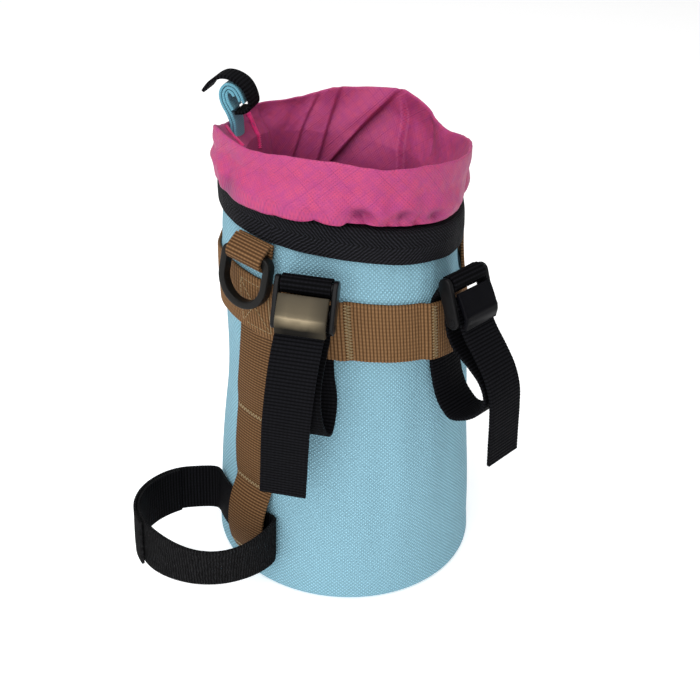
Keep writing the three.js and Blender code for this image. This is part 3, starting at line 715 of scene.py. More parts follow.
def shell_cloth(colours):
    """Padded oxford cloth: a basket weave that reads as fine slanting lines."""
    base = tuple(colours.shell)
    cloth = Finish("shell_cloth", base, 0.85, Specular_IOR_Level=0.15)
    weave = cloth.math("MULTIPLY", *cloth.slants(SHELL_WEAVE))
    worn = cloth.math("MULTIPLY", cloth.grain(34, 4), 0.3)
    thread = cloth.mix(weave, shade(base, 0.62), shade(base, 1.35))
    cloth.colour(cloth.mix(worn, thread, shade(base, 0.84)))
    cloth.bump(weave, 0.36, 0.9)
    return cloth.material


def collar_cloth(colours):
    """Thin ripstop: a fine weave under a slanting grid of thicker threads, with shade painted into its
    creases, dimples and laps.
    """
    base = tuple(colours.collar)
    cloth = Finish("collar_cloth", base, 0.55, Sheen_Weight=0.05, Sheen_Roughness=0.4,
                   Specular_IOR_Level=0.25)
    grid = cloth.math("MAXIMUM", *(cloth.math("POWER", line, 40) for line in cloth.slants(RIPSTOP_GRID)))
    weave = cloth.math("MULTIPLY", *cloth.slants(RIPSTOP_WEAVE))
    cloudy = cloth.stretch(cloth.grain(330, 6), 0.35, 0.65)
    shot = cloth.mix(cloudy, channel_scaled(base, (0.9, 0.92, 1.1)), channel_scaled(base, (1.07, 1.05, 0.92)))
    lined = cloth.mix(cloth.math("MULTIPLY", grid, 0.2), shot, tuple(colours.collar_thread))
    woven = cloth.mix(cloth.math("MULTIPLY", weave, 0.6), lined, channel_scaled(base, (0.6, 0.8, 0.95)))
    # Painted shade: the cloth darkens towards a deep purple where the mesh's shade attribute is high.
    hollow = cloth.add("ShaderNodeAttribute", "Fac", attribute_name="hollow")
    cloth.colour(cloth.mix(cloth.math("MULTIPLY", hollow, 0.75), woven, channel_scaled(base, (0.28, 0.25, 0.5))))
    threads = cloth.math("ADD", cloth.math("MULTIPLY", grid, 0.5), cloth.math("MULTIPLY", weave, 0.7))
    crumple = cloth.math("MULTIPLY", cloth.grain(120, 5), 4.0)
    cloth.bump(cloth.math("ADD", threads, crumple), 0.22, 0.8)
    return cloth.material


def ribbed_webbing(name, base, light, pitch, shine, roughness):
    """Woven strap: ribs across it and fine threads along it, with painted highlights on the rib crests and
    painted shade in the grooves.
    """
    web = Finish(name, base, roughness, Specular_IOR_Level=shine)
    along, across = web.uv()
    thread = web.raise_low(web.wave(across, WEBBING_THREAD), 0.65)
    weave = web.math("MULTIPLY", web.wave(along, pitch), thread)
    speck = web.grain(900, 2)
    # Painted light: the rib crests take the lighter crest colour and the grooves a much darker shade of the
    # base.
    tone = web.mix(weave, shade(base, 0.3), shade(light, 1.15))
    web.colour(web.mix(web.math("MULTIPLY", speck, 0.35), tone, shade(base, 0.8)))
    web.bump(weave, 0.2, 0.9)
    web.roughness(speck, roughness - 0.12, roughness + 0.1)
    return web.material


def binding_tape(colours):
    """Black tape whose slanting ribs meet along its middle, with painted highlights on the rib crests and
    painted shade in the grooves.
    """
    base = tuple(colours.binding)
    tape = Finish("binding_tape", base, 0.75, Specular_IOR_Level=0.1)
    along, across = tape.uv()
    slant = tape.math("ABSOLUTE", tape.math("SUBTRACT", across, CHEVRON_MIDDLE))
    loose = tape.math("MULTIPLY", tape.grain(160, 3), 2.2)
    rib = tape.wave(tape.math("ADD", tape.math("ADD", along, slant), loose), BINDING_RIB)
    weave = tape.math("MULTIPLY", rib, tape.raise_low(tape.wave(across, BINDING_THREAD), 0.5))
    # Painted light: the rib crests are painted far lighter than the tape and the grooves near black.
    tape.colour(tape.mix(weave, shade(base, 0.02), shade(base, 7.5)))
    tape.bump(weave, 0.6, 1.0)
    return tape.material


def fuzzy_loop(colours):
    """The loop face of the wrap strap: short tangled pile."""
    base = tuple(colours.pile)
    pile = Finish("wrap_loop_face", base, 0.95, Specular_IOR_Level=0.03)
    along, _ = pile.uv()
    tangle = pile.math("MULTIPLY", pile.grain(420, 3), pile.grain(1300, 2))
    stray = pile.math("MULTIPLY", pile.grain(500, 3), 1.3)
    rows = pile.wave(pile.math("ADD", along, stray), PILE_ROW)
    fuzz = pile.math("MULTIPLY", pile.math("ADD", rows, 0.25), pile.math("MULTIPLY", tangle, 2.4))
    pile.colour(pile.mix(fuzz, shade(base, 0.15), shade(base, 4.4)))
    pile.bump(fuzz, 0.9, 1.0)
    return pile.material


def flat_tape(colours):
    """Light-blue woven tape of the drawstring."""
    base = tuple(colours.draw_tape)
    tape = Finish("draw_tape", base, 0.65, Sheen_Weight=0.15, Sheen_Roughness=0.5, Specular_IOR_Level=0.35)
    along, across = tape.uv()
    weave = tape.math("MULTIPLY", tape.wave(along, TAPE_WEAVE), tape.wave(across, TAPE_WEAVE))
    tape.colour(tape.mix(weave, shade(base, 0.75), shade(base, 1.2)))
    tape.bump(weave, 0.12, 0.7)
    return tape.material


def moulded_plastic(name, base, roughness, shine, grain):
    """Moulded plastic with a faint grain and rubbed high spots."""
    plastic = Finish(name, base, roughness, Specular_IOR_Level=shine)
    rubbed = plastic.grain(160, 4)
    plastic.colour(plastic.mix(rubbed, shade(base, 0.75), shade(base, 1.5)))
    plastic.roughness(rubbed, roughness - 0.08, roughness + 0.1)
    plastic.bump(plastic.grain(1400, 2), grain, 0.6)
    return plastic.material


def painted_reflection_plastic(colours):
    """The left cam plate: a painted reflection, grey above its ridge with a bright painted highlight line,
    and painted shade along its lower lip and towards its sides.
    """
    base = tuple(colours.cam_reflection_base)
    plastic = Finish("cam_worn_plastic", base, 0.3, Specular_IOR_Level=0.07)
    along, across = plastic.uv()
    smear = plastic.math("MULTIPLY", plastic.grain(240, 4), 1.2)
    down = plastic.math("DIVIDE", plastic.math("ADD", along, smear), CAM_TALL)
    ramp = plastic.tree.nodes.new("ShaderNodeValToRGB")
    while len(ramp.color_ramp.elements) < len(CAM_REFLECTION_TONES):
        ramp.color_ramp.elements.new(0.5)
    for stop, (at, tone) in zip(ramp.color_ramp.elements, CAM_REFLECTION_TONES):
        stop.position = at
        stop.color = (*shade(base, tone), 1)
    plastic.tree.links.new(down, ramp.inputs["Fac"])
    # Painted shade: the plate darkens towards its sides, away from the middle of its painted reflection.
    aside = plastic.math("ABSOLUTE", plastic.math("SUBTRACT", across, EAR_INNER - CLEAR - 1.5))
    painted_side_shade = plastic.stretch(aside, 4.0, 11.0)
    plastic.colour(plastic.mix(painted_side_shade, ramp.outputs["Color"], shade(base, 0.2)))
    plastic.bump(plastic.grain(1400, 2), 0.02, 0.6)
    return plastic.material


def sewing_thread(name, base):
    thread = Finish(name, base, 0.6, Sheen_Weight=0.2, Sheen_Roughness=0.5, Specular_IOR_Level=0.35)
    thread.colour(thread.mix(thread.grain(1200, 2), shade(base, 0.65), shade(base, 1.25)))
    return thread.material


# Mesh tools

def laid_grid(columns, rows, place, cut, joined=False):
    """A flat grid whose points are laid on a surface: place takes 0 to 1 along and across."""
    mesh = bmesh.new()
    chart = mesh.loops.layers.uv.new("UVMap")
    bmesh.ops.create_grid(mesh, x_segments=columns, y_segments=rows, size=0.5)
    spots = {vert: (vert.co.x + 0.5, vert.co.y + 0.5) for vert in mesh.verts}
    for face in mesh.faces:
        for loop in face.loops:
            u, v = spots[loop.vert]
            loop[chart].uv = (u * cut[0], v * cut[1])
    for vert, (u, v) in spots.items():
        vert.co = place(u, v) * MM
    if joined:
        bmesh.ops.remove_doubles(mesh, verts=mesh.verts[:], dist=2e-6)
        bmesh.ops.dissolve_degenerate(mesh, edges=mesh.edges[:], dist=1e-6)
        bmesh.ops.recalc_face_normals(mesh, faces=mesh.faces[:])
    return mesh


def add_piece(mesh, name, body, materials, nodes=()):
    """The finished mesh as a piece that rides on a body and stands for its CAD nodes."""
    data = bpy.data.meshes.new(name)
    mesh.to_mesh(data)
    mesh.free()
    data.shade_smooth()
    for material in materials:
        data.materials.append(material)
    piece = bpy.data.objects.new(name, data)
    bpy.context.scene.collection.objects.link(piece)
    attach(piece, body)
    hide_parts(*nodes)
    return piece


def thicken(piece, thickness, edge, other_face=0):
    """Gives a sheet its thickness and soft edges; other_face counts on to its back's material."""
    wall = piece.modifiers.new("thickness", "SOLIDIFY")
    wall.thickness = thickness * MM
    wall.offset = 0
    wall.use_even_offset = True
    wall.material_offset = other_face
    soft = piece.modifiers.new("soft edge", "BEVEL")
    soft.width = edge * MM
    soft.segments = 2
    soft.limit_method = "ANGLE"
    soft.angle_limit = radians(60)


def webbing_strap(node, kind, run, width, thickness, place, sizes, finishes):
    """Brown or black webbing along a run; place takes the point, heading, side and rise of a rib."""
    pitch = sizes.brown_rib if kind == "brown" else sizes.black_rib

    def lay(u, v):
        along = u * run.length
        rise = sizes.rib_height * sin(tau * along / pitch)
        return place(run.at(along), run.heading(along), (v - 0.5) * width, rise)

    mesh = laid_grid(int(run.length / STRAP_STEP), STRAP_ROWS, lay, (run.length, width))
    piece = add_piece(mesh, f"{node}_webbing", "bag", [finishes[kind]], [node])
    thicken(piece, thickness - 2 * sizes.rib_height, SOFT_EDGE)
    return piece


def add_stitch(mesh, start, end, thick):
    """One thread of a seam: a slim bead from start to end."""
    span = end - start
    turn = span.to_track_quat("Z", "Y").to_matrix().to_4x4()
    size = Matrix.Diagonal((thick, thick, span.length * 0.56, 1))
    place = Matrix.Translation((start + end) / 2) @ turn @ size
    bmesh.ops.create_uvsphere(mesh, u_segments=6, v_segments=5, radius=1, matrix=Matrix.Scale(MM, 4) @ place)


def zigzag(mesh, at, length, width, pitch, thick):
    """A bartack: threads that cross from side to side; at takes the distance along and across."""
    count = int(length / pitch)
    spots = [at(i * pitch, width * (0.5 if i % 2 else -0.5)) for i in range(count + 1)]
    for start, end in zip(spots, spots[1:]):
        add_stitch(mesh, start, end, thick)


def straight_seam(mesh, at, length, pitch, thick):
    """A row of single stitches; at takes the distance along."""
    for i in range(int(length / pitch)):
        add_stitch(mesh, at((i + 0.12) * pitch), at((i + 0.88) * pitch), thick)


# Pieces

def wall_detail(theta, z):
    """Hollows and faint creases pressed into the padded wall, never outwards."""
    depth = sum(d * bell(turn_between(theta, at), broad) * bell(z - height, tall)
                for at, height, d, tall, broad in HOLLOWS)
    spot = outward(theta) * 2.6 + Vector((0, 0, z / 24))
    depth += PAD_RIPPLE * (1 + noise.noise(spot))
    below = BINDING_LOW + lift(theta, BINDING_LOW) - z
    pucker = noise.noise(Vector((theta / 5.5, 3.1, z / 30)))
    depth += BINDING_PUCKER * (1 + pucker) * bell(below - 3, 8)
    band_foot = BAND_LOW + band_lift(theta)
    band_top = band_foot + BAND_TALL
    for edge in (band_foot - 4, band_top + 4):
        ripple = noise.noise(Vector((theta / 7, 8.4 + edge / 60, 0.4)))
        depth += BAND_RIPPLE * (1 + ripple) * bell(z - edge, 4)
    behind = smooth(z, band_foot - 3, band_foot + 1) * (1 - smooth(z, band_top - 1, band_top + 3))
    return -depth * (1 - 0.9 * behind)


def build_shell(sizes, finishes):
    """The padded wall, closed: under the base, up the outside, over the rim and down the lining."""
    inner = BODY_RADIUS - WALL
    heel = BODY_RADIUS - BASE_EDGE
    turns = [radians(turn) for turn in range(15, 91, 15)]
    profile = [(0, 0), (25, 0), (heel, 0)]
    profile += [(heel + BASE_EDGE * sin(turn), BASE_EDGE - BASE_EDGE * cos(turn)) for turn in turns]
    profile += [(BODY_RADIUS, z) for z in range(2 * BASE_EDGE, BODY_HEIGHT - 1, 2)]
    profile += [(BODY_RADIUS, BODY_HEIGHT - 1), (BODY_RADIUS - 1, BODY_HEIGHT), (inner + 1, BODY_HEIGHT)]
    profile += [(inner, z) for z in range(BODY_HEIGHT - 2, 2 * BASE_EDGE, -8)]
    profile += [(inner, WALL + 3), (inner - 1, WALL + 1), (inner - 3, WALL), (25, WALL), (0, WALL)]
    rows = len(profile) - 1
    marks = Run([Vector(row) for row in profile]).marks

    def place(u, v):
        theta = 360 * u
        radius, height = profile[round(v * rows)]
        z = height + lift(theta, height)
        out = wall_radius(theta, z) * radius / BODY_RADIUS
        if radius == BODY_RADIUS:
            out += wall_detail(theta, z) * smooth(height, BASE_EDGE, BASE_EDGE + 10)
        return body_centre(z) + outward(theta) * out + Vector((0, 0, z))

    mesh = laid_grid(sizes.round_steps, rows, place, (tau * BODY_RADIUS, 1), joined=True)
    chart = mesh.loops.layers.uv["UVMap"]
    for face in mesh.faces:
        for loop in face.loops:
            loop[chart].uv.y = marks[round(loop[chart].uv.y * rows)]
        middle = face.calc_center_median()
        if middle.z > BASE_EDGE * MM and face.normal.dot(middle.xy.to_3d()) < 0:
            face.material_index = 1
    piece = add_piece(mesh, "shell_padding", "bag",
                      [finishes["shell"], finishes["collar"]], ["shell"])


def round_noise(theta, scale, level):
    """Noise that closes on itself round the bag."""
    turn = radians(theta)
    return noise.noise(Vector((cos(turn) * scale, sin(turn) * scale, level)))


def build_binding(sizes, finishes):
    """The tape folded over the rim, with slanting ribs and a loose lower edge."""
    outer = CLEAR + BINDING_THICK / 2
    inner = -WALL - CLEAR - BINDING_THICK / 2
    top = BINDING_TOP - BINDING_THICK / 2
    profile = [(outer, BINDING_LOW), (outer + 0.25, BINDING_LOW + 3), (outer + 0.3, BINDING_LOW + 7),
               (outer + 0.1, top - 1.6), (outer - 0.5, top - 0.3), (outer - 1.4, top),
               (inner + 1.2, top), (inner + 0.4, top - 0.4), (inner, top - 1.4), (inner, BINDING_TURN_IN)]
    run = Run(spline([Vector((out, up, 0)) for out, up in profile], 6))
    length = tau * BINDING_ROUND

    def place(u, v):
        theta = 360 * u
        across = v * run.length
        spot = run.at(across)
        hang = max(1 - across / 5, 0)
        z = spot.y + 0.28 * round_noise(theta, 6, 2.2) * hang
        z += lift(theta, z)
        slant = abs(across - CHEVRON_MIDDLE)
        ridge = 0.05 * sin(tau * (u * length + slant) / BINDING_RIB)
        puff = max(0.12 * round_noise(theta, 9, v * 3), -0.1)
        return on_wall(theta, z, spot.x + ridge + puff)

    columns = int(length / BINDING_RIB * 4)
    mesh = laid_grid(columns, BINDING_ROWS, place, (length, run.length), joined=True)
    piece = add_piece(mesh, "rim_binding_tape", "bag",
                      [finishes["binding"]], ["rim_binding"])
    thicken(piece, BINDING_THICK - 0.25, 0.3)


def lap(away, fade):
    """A fold's edge: the cloth on its right lies deeper, and rises again as the lap fades."""
    past_edge = smooth(away, -LAP_EDGE, LAP_EDGE)
    depth, reach = LAP_HOLLOW
    return exp(min(away, 0) / fade) * (1 - past_edge) - depth * exp(-max(away, 0) / reach) * past_edge


def collar_push(theta, s, inner):
    """Folds, creases, laps and gathers of the collar's cloth: how far they move it outwards."""
    up = max(s, 0)
    deep = max(s, LAP_FOOT)
    shaped = smooth(s, -0.5, 0.25) if inner else smooth(s, 0, 0.12)
    push = 0
    for rim, low, amount, broad, deepest in COLLAR_FOLDS:
        away = turn_between(theta, low + (rim - low) * up)
        push += amount * bell(up - deepest, FOLD_TALL) * shaped * bell(away, broad)
    for rim, low, amount, broad, start, end in COLLAR_CREASES:
        away = abs(turn_between(theta, low + (rim - low) * up))
        window = smooth(up, start - 0.04, start + 0.1) * (1 - smooth(up, end - 0.12, end + 0.1))
        free = smooth(up, 0.05, 0.45) if amount > 0 or inner else 1
        push += amount * free * window * exp(-away / broad)
    lapped = smooth(s, -1, -0.6) if inner else smooth(s, 0.05, 0.45)
    lapped *= 1 - 0.7 * smooth(s, 0.5, 1)
    for rim, low, depth, fade in COLLAR_LAPS:
        away = turn_between(theta, low + (rim - low) * deep)
        push += depth * lapped * lap(away, fade)
    around = outward(theta)
    push += 0.5 * shaped * noise.noise(around * 5 + Vector((0, 0, up * 2.2)))
    push += 0.28 * shaped * noise.noise(around * 13 + Vector((4, 0, up * 4)))
    if not inner:
        gather = noise.noise(Vector((around.x * 11, around.y * 11, 7.5)))
        push += 0.7 * gather * bell(up - 0.1, 0.12) * smooth(up, 0.02, 0.08)
        for at, height, depth, broad in COLLAR_DIMPLES:
            push -= depth * bell(turn_between(theta, at), broad) * bell(s - height, 0.08)
    return push


def collar_point(theta, s, inset):
    """The collar's cloth: s runs from -1 at its foot through 0 at the binding to 1 at the rim."""
    inner = inset > 0
    rim_reach, rim_height = collar_rim(theta)
    foot = BINDING_TOP + lift(theta, BINDING_TOP)
    wall = wall_radius(theta, foot)
    foot_reach = wall - WALL - BINDING_THICK - 2 * CLEAR - COLLAR_THICK / 2
    up = max(s, 0)
    spread = up ** 1.25 if inner else 1 - (1 - up) ** 3
    reach = foot_reach + (rim_reach - foot_reach) * spread + COLLAR_BELLY * sin(pi * up)
    reach += collar_push(theta, s, inner) - inset
    z = foot + s * (BINDING_TOP - COLLAR_FOOT if s < 0 else rim_height - foot)
    if inner:
        drawn = COLLAR_DRAWN + bells_round(theta, COLLAR_DRAWN_IN)
        reach -= drawn * smooth(-s, -0.8, 0.5)
    else:
        sag = bells_round(theta, COLLAR_SAG)
        roll = COLLAR_ROLL + 0.4 * sag - bells_round(theta, COLLAR_HELD)
        reach += roll * smooth(s, *ROLL_SWELLS) * (1 - smooth(s, *ROLL_FLATTENS))
        rise, crest, crest_half = ROLL_CREST
        z += rise * bell(s - crest, crest_half)
        lowest, sag_half = SAG_AT
        z -= sag * bell(s - lowest, sag_half) * smooth(reach - wall, *SAG_CLEARS)
    for corner, height in COLLAR_CORNERS:
        z += height * exp(-abs(turn_between(theta, corner)) / 5) * smooth(s, 0.5, 1)
    around = outward(theta)
    z += 0.35 * noise.noise(around * 9) * smooth(s, 0.9, 1)
    return body_centre(BODY_HEIGHT) + around * reach + Vector((0, 0, z))


def collar_painted_shade(theta, s, inner):
    """How much shade is painted on the cloth, from 0 to 1: under the dimples and the left fold outside,
    beside the laps and deep down inside.
    """
    if not inner:
        shadows = [bell(turn_between(theta, at), 1.3 * broad) * bell(s - height, 0.12)
                   for at, height, _, broad in COLLAR_DIMPLES]
        shadows.append(bell(turn_between(theta, -24 + 30 * (s - 0.1)), 6) * bell(s - 0.12, 0.14))
        return min(0.8 * sum(shadows), 1)
    dark = 0.3 * smooth(-s, -0.6, 0.7)
    for rim, low, depth, fade in COLLAR_LAPS:
        away = turn_between(theta, low + (rim - low) * max(s, LAP_FOOT))
        edge = smooth(away, -1.8, 0.6)
        dark += 0.17 * depth * exp(min(away, 0) / (0.4 * fade)) * (1 - edge) * smooth(1 - s, 0.05, 0.7)
    return min(dark, 1)


def collar_half(s):
    """Half the cloth's thickness, more along the hem."""
    return 0.4 + 0.15 * smooth(s, 0.3, 0.8)


def build_collar(sizes, finishes):
    """The collar as a closed sheet: up its outside, over its lip and down its inside."""
    climb = [-1, -0.85, *(-0.7 + 0.04 * i for i in range(17)), -0.02]
    climb += [i / 100 for i in range(11)]
    climb += [0.115, 0.13, 0.145, 0.16, 0.18, 0.2]
    climb += [0.2 + 0.77 * i / 26 for i in range(1, 27)]
    lip = [(0.985, 0.8), (0.996, 0.45), (1.0, 0), (0.996, -0.45), (0.985, -0.8)]
    rows = [(s, -1) for s in climb] + [(s, -side) for s, side in lip] + [(s, 1) for s in reversed(climb)]
    rows.append(rows[0])
    last = len(rows) - 1

    def place(u, v):
        s, side = rows[round(v * last)]
        return collar_point(360 * u, s, side * collar_half(s))

    mesh = laid_grid(sizes.round_steps + 80, last, place, (tau * COLLAR_ROUND, 1), joined=True)
    chart = mesh.loops.layers.uv["UVMap"]
    # A float on each corner of the mesh that tells the material how much shade to paint on the cloth.
    hollow = mesh.loops.layers.float.new("hollow")
    for face in mesh.faces:
        for loop in face.loops:
            s, side = rows[round(loop[chart].uv.y * last)]
            loop[hollow] = collar_painted_shade(degrees(loop[chart].uv.x / COLLAR_ROUND), s, side > 0)
            loop[chart].uv.y = s * COLLAR_TALL
    piece = add_piece(mesh, "collar_ripstop", "bag", [finishes["collar"]], ["collar"])


def band_out(theta):
    """How far the band's middle stands off the wall: more where a bar strap passes behind it."""
    bulge = 0
    for row in BAR_STRAPS.values():
        away = abs(turn_between(theta, row["theta"]))
        bulge += BAND_BULGE * (1 - smooth(away, BULGE_FLAT, BULGE_FLAT + BULGE_RAMP))
    return BAND_GAP / 2 + BAND_THICK / 2 + bulge


def band_point(theta, across, out):
    """A point on the band: across from its middle line and out from its own middle layer."""
    z = BAND_MIDDLE + across + band_lift(theta)
    return on_wall(theta, z, band_out(theta) + out)


def build_band(sizes, finishes):
    """The band as one ring, with whole ribs all the way round."""
    length = tau * BAND_ROUND
    ribs = round(length / sizes.brown_rib)

    def place(u, v):
        across = (v - 0.5) * BAND_TALL
        edge = 0.12 * noise.noise(outward(360 * u) * 7) * abs(2 * v - 1)
        return band_point(360 * u, across + edge, sizes.rib_height * sin(tau * ribs * u))

    mesh = laid_grid(ribs * 6, 10, place, (ribs * sizes.brown_rib, BAND_TALL), joined=True)
    piece = add_piece(mesh, "band_webbing", "bag", [finishes["brown"]], ["band"])
    thicken(piece, BAND_THICK - 2 * sizes.rib_height, SOFT_EDGE)


def build_ring_tab(sizes, finishes):
    """The loop that comes down from the binding, round the ring's bar and up again."""
    place_at = ring_place()
    radius = hypot(RING_DEPTH / 2, RING_DEPTH / 2 - RING_BEVEL) + CLEAR + BROWN_THICK / 2
    top = BINDING_LOW + lift(RING_THETA, BINDING_LOW) - 2 * CLEAR - RING_BAR_UP
    first = BROWN_THICK / 2 + CLEAR - RING_BAR_OUT
    second = 1.5 * BROWN_THICK + 2 * CLEAR - RING_BAR_OUT
    line = [Vector((first, top)), *arc((0, 0), radius, 180, 400, 30), Vector((second, top))]
    run = Run([point.to_3d() for point in line])

    def place(point, heading, side, rise):
        raised = point + Vector((-heading.y, heading.x, 0)) * rise
        return place_at @ Vector((raised.x, side, raised.y))

    piece = webbing_strap("ring_tab", "brown", run, RING_TAB_WIDTH, BROWN_THICK, place, sizes, finishes)


def build_ring(sizes, finishes):
    """The D: a rounded bar section swept round a straight top and a half circle."""
    half = RING_HALF_WIDTH - RING_LIMB / 2
    corner = half - RING_CORNER
    line = [Vector((-corner, RING_BAR_RISE)), Vector((corner, RING_BAR_RISE))]
    line += arc((corner, RING_BAR_RISE - RING_CORNER), RING_CORNER, 90, 0, 8)
    line += arc((0, -RING_DROP), half, 0, -180, 36)
    line += arc((-corner, RING_BAR_RISE - RING_CORNER), RING_CORNER, 180, 90, 8)
    run = Run([point.to_3d() for point in [*line, line[0]]])
    place_at = ring_place() @ Matrix.Rotation(radians(-RING_LEAN), 4, "Y")

    def place(u, v):
        along = u * run.length
        point = run.at(along)
        before, after = (run.at((along + near) % run.length) for near in (-0.3, 0.3))
        heading = (after - before).normalized()
        wide = RING_LIMB / 2 + RING_BAR_MORE * smooth(point.y, -2.5, -0.5)
        turn = tau * v
        aside, deep = (copysign(abs(c) ** RING_ROUNDNESS, c) for c in (cos(turn), sin(turn)))
        spot = point + Vector((-heading.y, heading.x, 0)) * wide * aside
        return place_at @ Vector((RING_DEPTH / 2 * deep, spot.x, spot.y))

    mesh = laid_grid(*RING_GRID, place, (run.length, 2 * (RING_LIMB + RING_DEPTH)), joined=True)
    add_piece(mesh, "d_ring_moulding", "ring", [finishes["ring"]], ["d_ring"])


def down_strap_run():
    """The down strap's line as distance out, height and shift, never inside the wall."""
    rows = [Vector((wall_reach(RING_THETA, up) + out, up, side)) for up, out, side in DOWN_STRAP]
    line = spline(rows)
    for point in line:
        point.x = max(point.x, wall_reach(RING_THETA, point.y) + BROWN_THICK / 2)
    return Run(line)


def down_strap_point(point, heading, side, rise):
    normal = Vector((-heading.y, heading.x)).normalized()
    out = point.x - normal.x * rise
    up = point.y - normal.y * rise
    return bent(RING_THETA, out, point.z + side, up, hug=False)


def build_down_strap(sizes, finishes):
    run = down_strap_run()
    piece = webbing_strap("down_strap", "brown", run, BROWN_WIDTH, BROWN_THICK, down_strap_point,
                          sizes, finishes)


def build_side_tab(sizes, finishes):
    """Plain webbing from the binding down to the band."""
    slant = lift(SIDE_TAB_THETA, BINDING_LOW)
    high = BINDING_LOW + slant - 2 * CLEAR
    low = BAND_LOW + BAND_TALL + slant + 2 * CLEAR
    heights = [high + (low - high) * i / 24 for i in range(25)]
    out = BROWN_THICK / 2 + CLEAR
    run = Run([Vector((wall_reach(SIDE_TAB_THETA, up) + out, up, 0)) for up in heights])

    def place(point, heading, side, rise):
        return bent(SIDE_TAB_THETA, point.x + rise, side, point.y, hug=False)

    piece = webbing_strap("side_tab", "brown", run, BROWN_WIDTH, BROWN_THICK, place, sizes, finishes)


def bar_strap_run(row):
    """Round the top bar, behind the band, the free loop, over the middle bar and out as the tail."""
    theta = row["theta"]
    wall = wall_reach(theta, BAND_MIDDLE)
    least = BAND_GAP + BLACK_THICK / 2
    wrap = CLEAR + BLACK_THICK / 2
    top_out, top_radius = TOP_BAR
    middle_out, middle_drop, middle_radius = MIDDLE_BAR
    over_top = arc((wall + top_out, row["top_bar"]), top_radius + wrap, -70, 185, 24)
    middle = (wall + middle_out, row["top_bar"] - middle_drop)
    over_middle = arc(middle, middle_radius + wrap, 180, -20, 18)
    over_top, over_middle = ([point.to_3d() for point in bend] for bend in (over_top, over_middle))
    band_foot = BAND_LOW + lift(theta, BAND_LOW)
    high = band_foot + BAND_TALL + BEHIND_BAND
    low = band_foot - BEHIND_BAND
    behind = [high + (low - high) * i / 3 for i in range(4)]
    loop, tail = ([Vector((wall + out, up, side)) for out, up, side in row[part]]
                  for part in ("loop", "tail"))
    line = [over_top[-1]]
    line += [Vector((wall_reach(theta, up) + least, up, 0)) for up in behind]
    down = spline([*line, *loop, over_middle[0]])
    for point in down:
        point.x = max(point.x, wall_reach(theta, point.y) + least)
    return Run(over_top + down[1:] + over_middle[1:] + spline([over_middle[-1], *tail])[1:])


def build_bar_straps(sizes, finishes):
    for side, row in BAR_STRAPS.items():
        run = bar_strap_run(row)
        theta = row["theta"]

        def place(point, heading, across, rise):
            normal = Vector((-heading.y, heading.x)).normalized()
            return bent(theta, point.x + normal.x * rise, point.z + across, point.y + normal.y * rise)

        piece = webbing_strap(f"bar_strap_{side}", "black", run, BLACK_WIDTH, BLACK_THICK, place,
                              sizes, finishes)


def ear_point(spot, wall, top_bar):
    """A point of a round blank moved to the tapered outline of a buckle's ear."""
    top_out, top_radius = EAR_TOP
    foot_out, foot_drop, foot_radius = EAR_FOOT
    top = Vector((wall + top_out, top_bar))
    foot = Vector((wall + foot_out, top_bar - foot_drop))
    axis = foot - top
    lean = (top_radius - foot_radius) / axis.length
    at_foot = spot.dot(axis.normalized()) > lean
    return foot + spot * foot_radius if at_foot else top + spot * top_radius


def soften_rims(mesh, verts, edge):
    """Rounds the two rims of a disc or rod."""
    mesh.normal_update()
    rims = {e for v in verts for e in v.link_edges if len(e.link_faces) == 2 and e.calc_face_angle() > 1}
    bmesh.ops.bevel(mesh, geom=list(rims), offset=edge, affect="EDGES", segments=3, profile=0.5, material=-1)


def add_rod(mesh, place, radius, length, edge):
    """A round bar along the place's X, with softened ends."""
    lying = place @ Matrix.Rotation(pi / 2, 4, "Y")
    made = bmesh.ops.create_cone(mesh, cap_ends=True, segments=28, radius1=radius, radius2=radius,
                                 depth=length, matrix=lying)
    soften_rims(mesh, made["verts"], edge)


def build_buckles(sizes, finishes):
    """Each frame: two ears with pivot ends, a top bar and a middle bar."""
    crosswise = Matrix.Rotation(pi / 2, 4, "Z")
    for side, row in BAR_STRAPS.items():
        theta = row["theta"]
        wall = wall_reach(theta, BAND_MIDDLE)
        mesh = bmesh.new()
        for hand in (-1, 1):
            blank = bmesh.ops.create_cone(mesh, cap_ends=True, segments=64, radius1=1, radius2=1,
                                          depth=EAR_THICK)
            for vert in blank["verts"]:
                spot = ear_point(vert.co.xy.normalized(), wall, row["top_bar"])
                vert.co = (spot.x, hand * (EAR_INNER + EAR_THICK / 2) + vert.co.z, spot.y)
            soften_rims(mesh, blank["verts"], 0.5)
            pivot = (wall + EAR_FOOT[0], hand * (EAR_INNER + EAR_THICK), row["top_bar"] - EAR_FOOT[1])
            add_rod(mesh, Matrix.Translation(pivot) @ crosswise, PIVOT_RADIUS, PIVOT_LENGTH, 0.15)
        for out, drop, radius in ((TOP_BAR[0], 0, TOP_BAR[1]), MIDDLE_BAR):
            bar = Matrix.Translation((wall + out, 0, row["top_bar"] - drop)) @ crosswise
            add_rod(mesh, bar, radius, 2 * EAR_INNER + EAR_THICK, 0.2)
        bmesh.ops.recalc_face_normals(mesh, faces=mesh.faces[:])
        for vert in mesh.verts:
            vert.co = from_band(theta, *vert.co) * MM
        node = f"buckle_{side}"
        add_piece(mesh, f"{node}_frame", "bag", [finishes["buckle"]], [node])


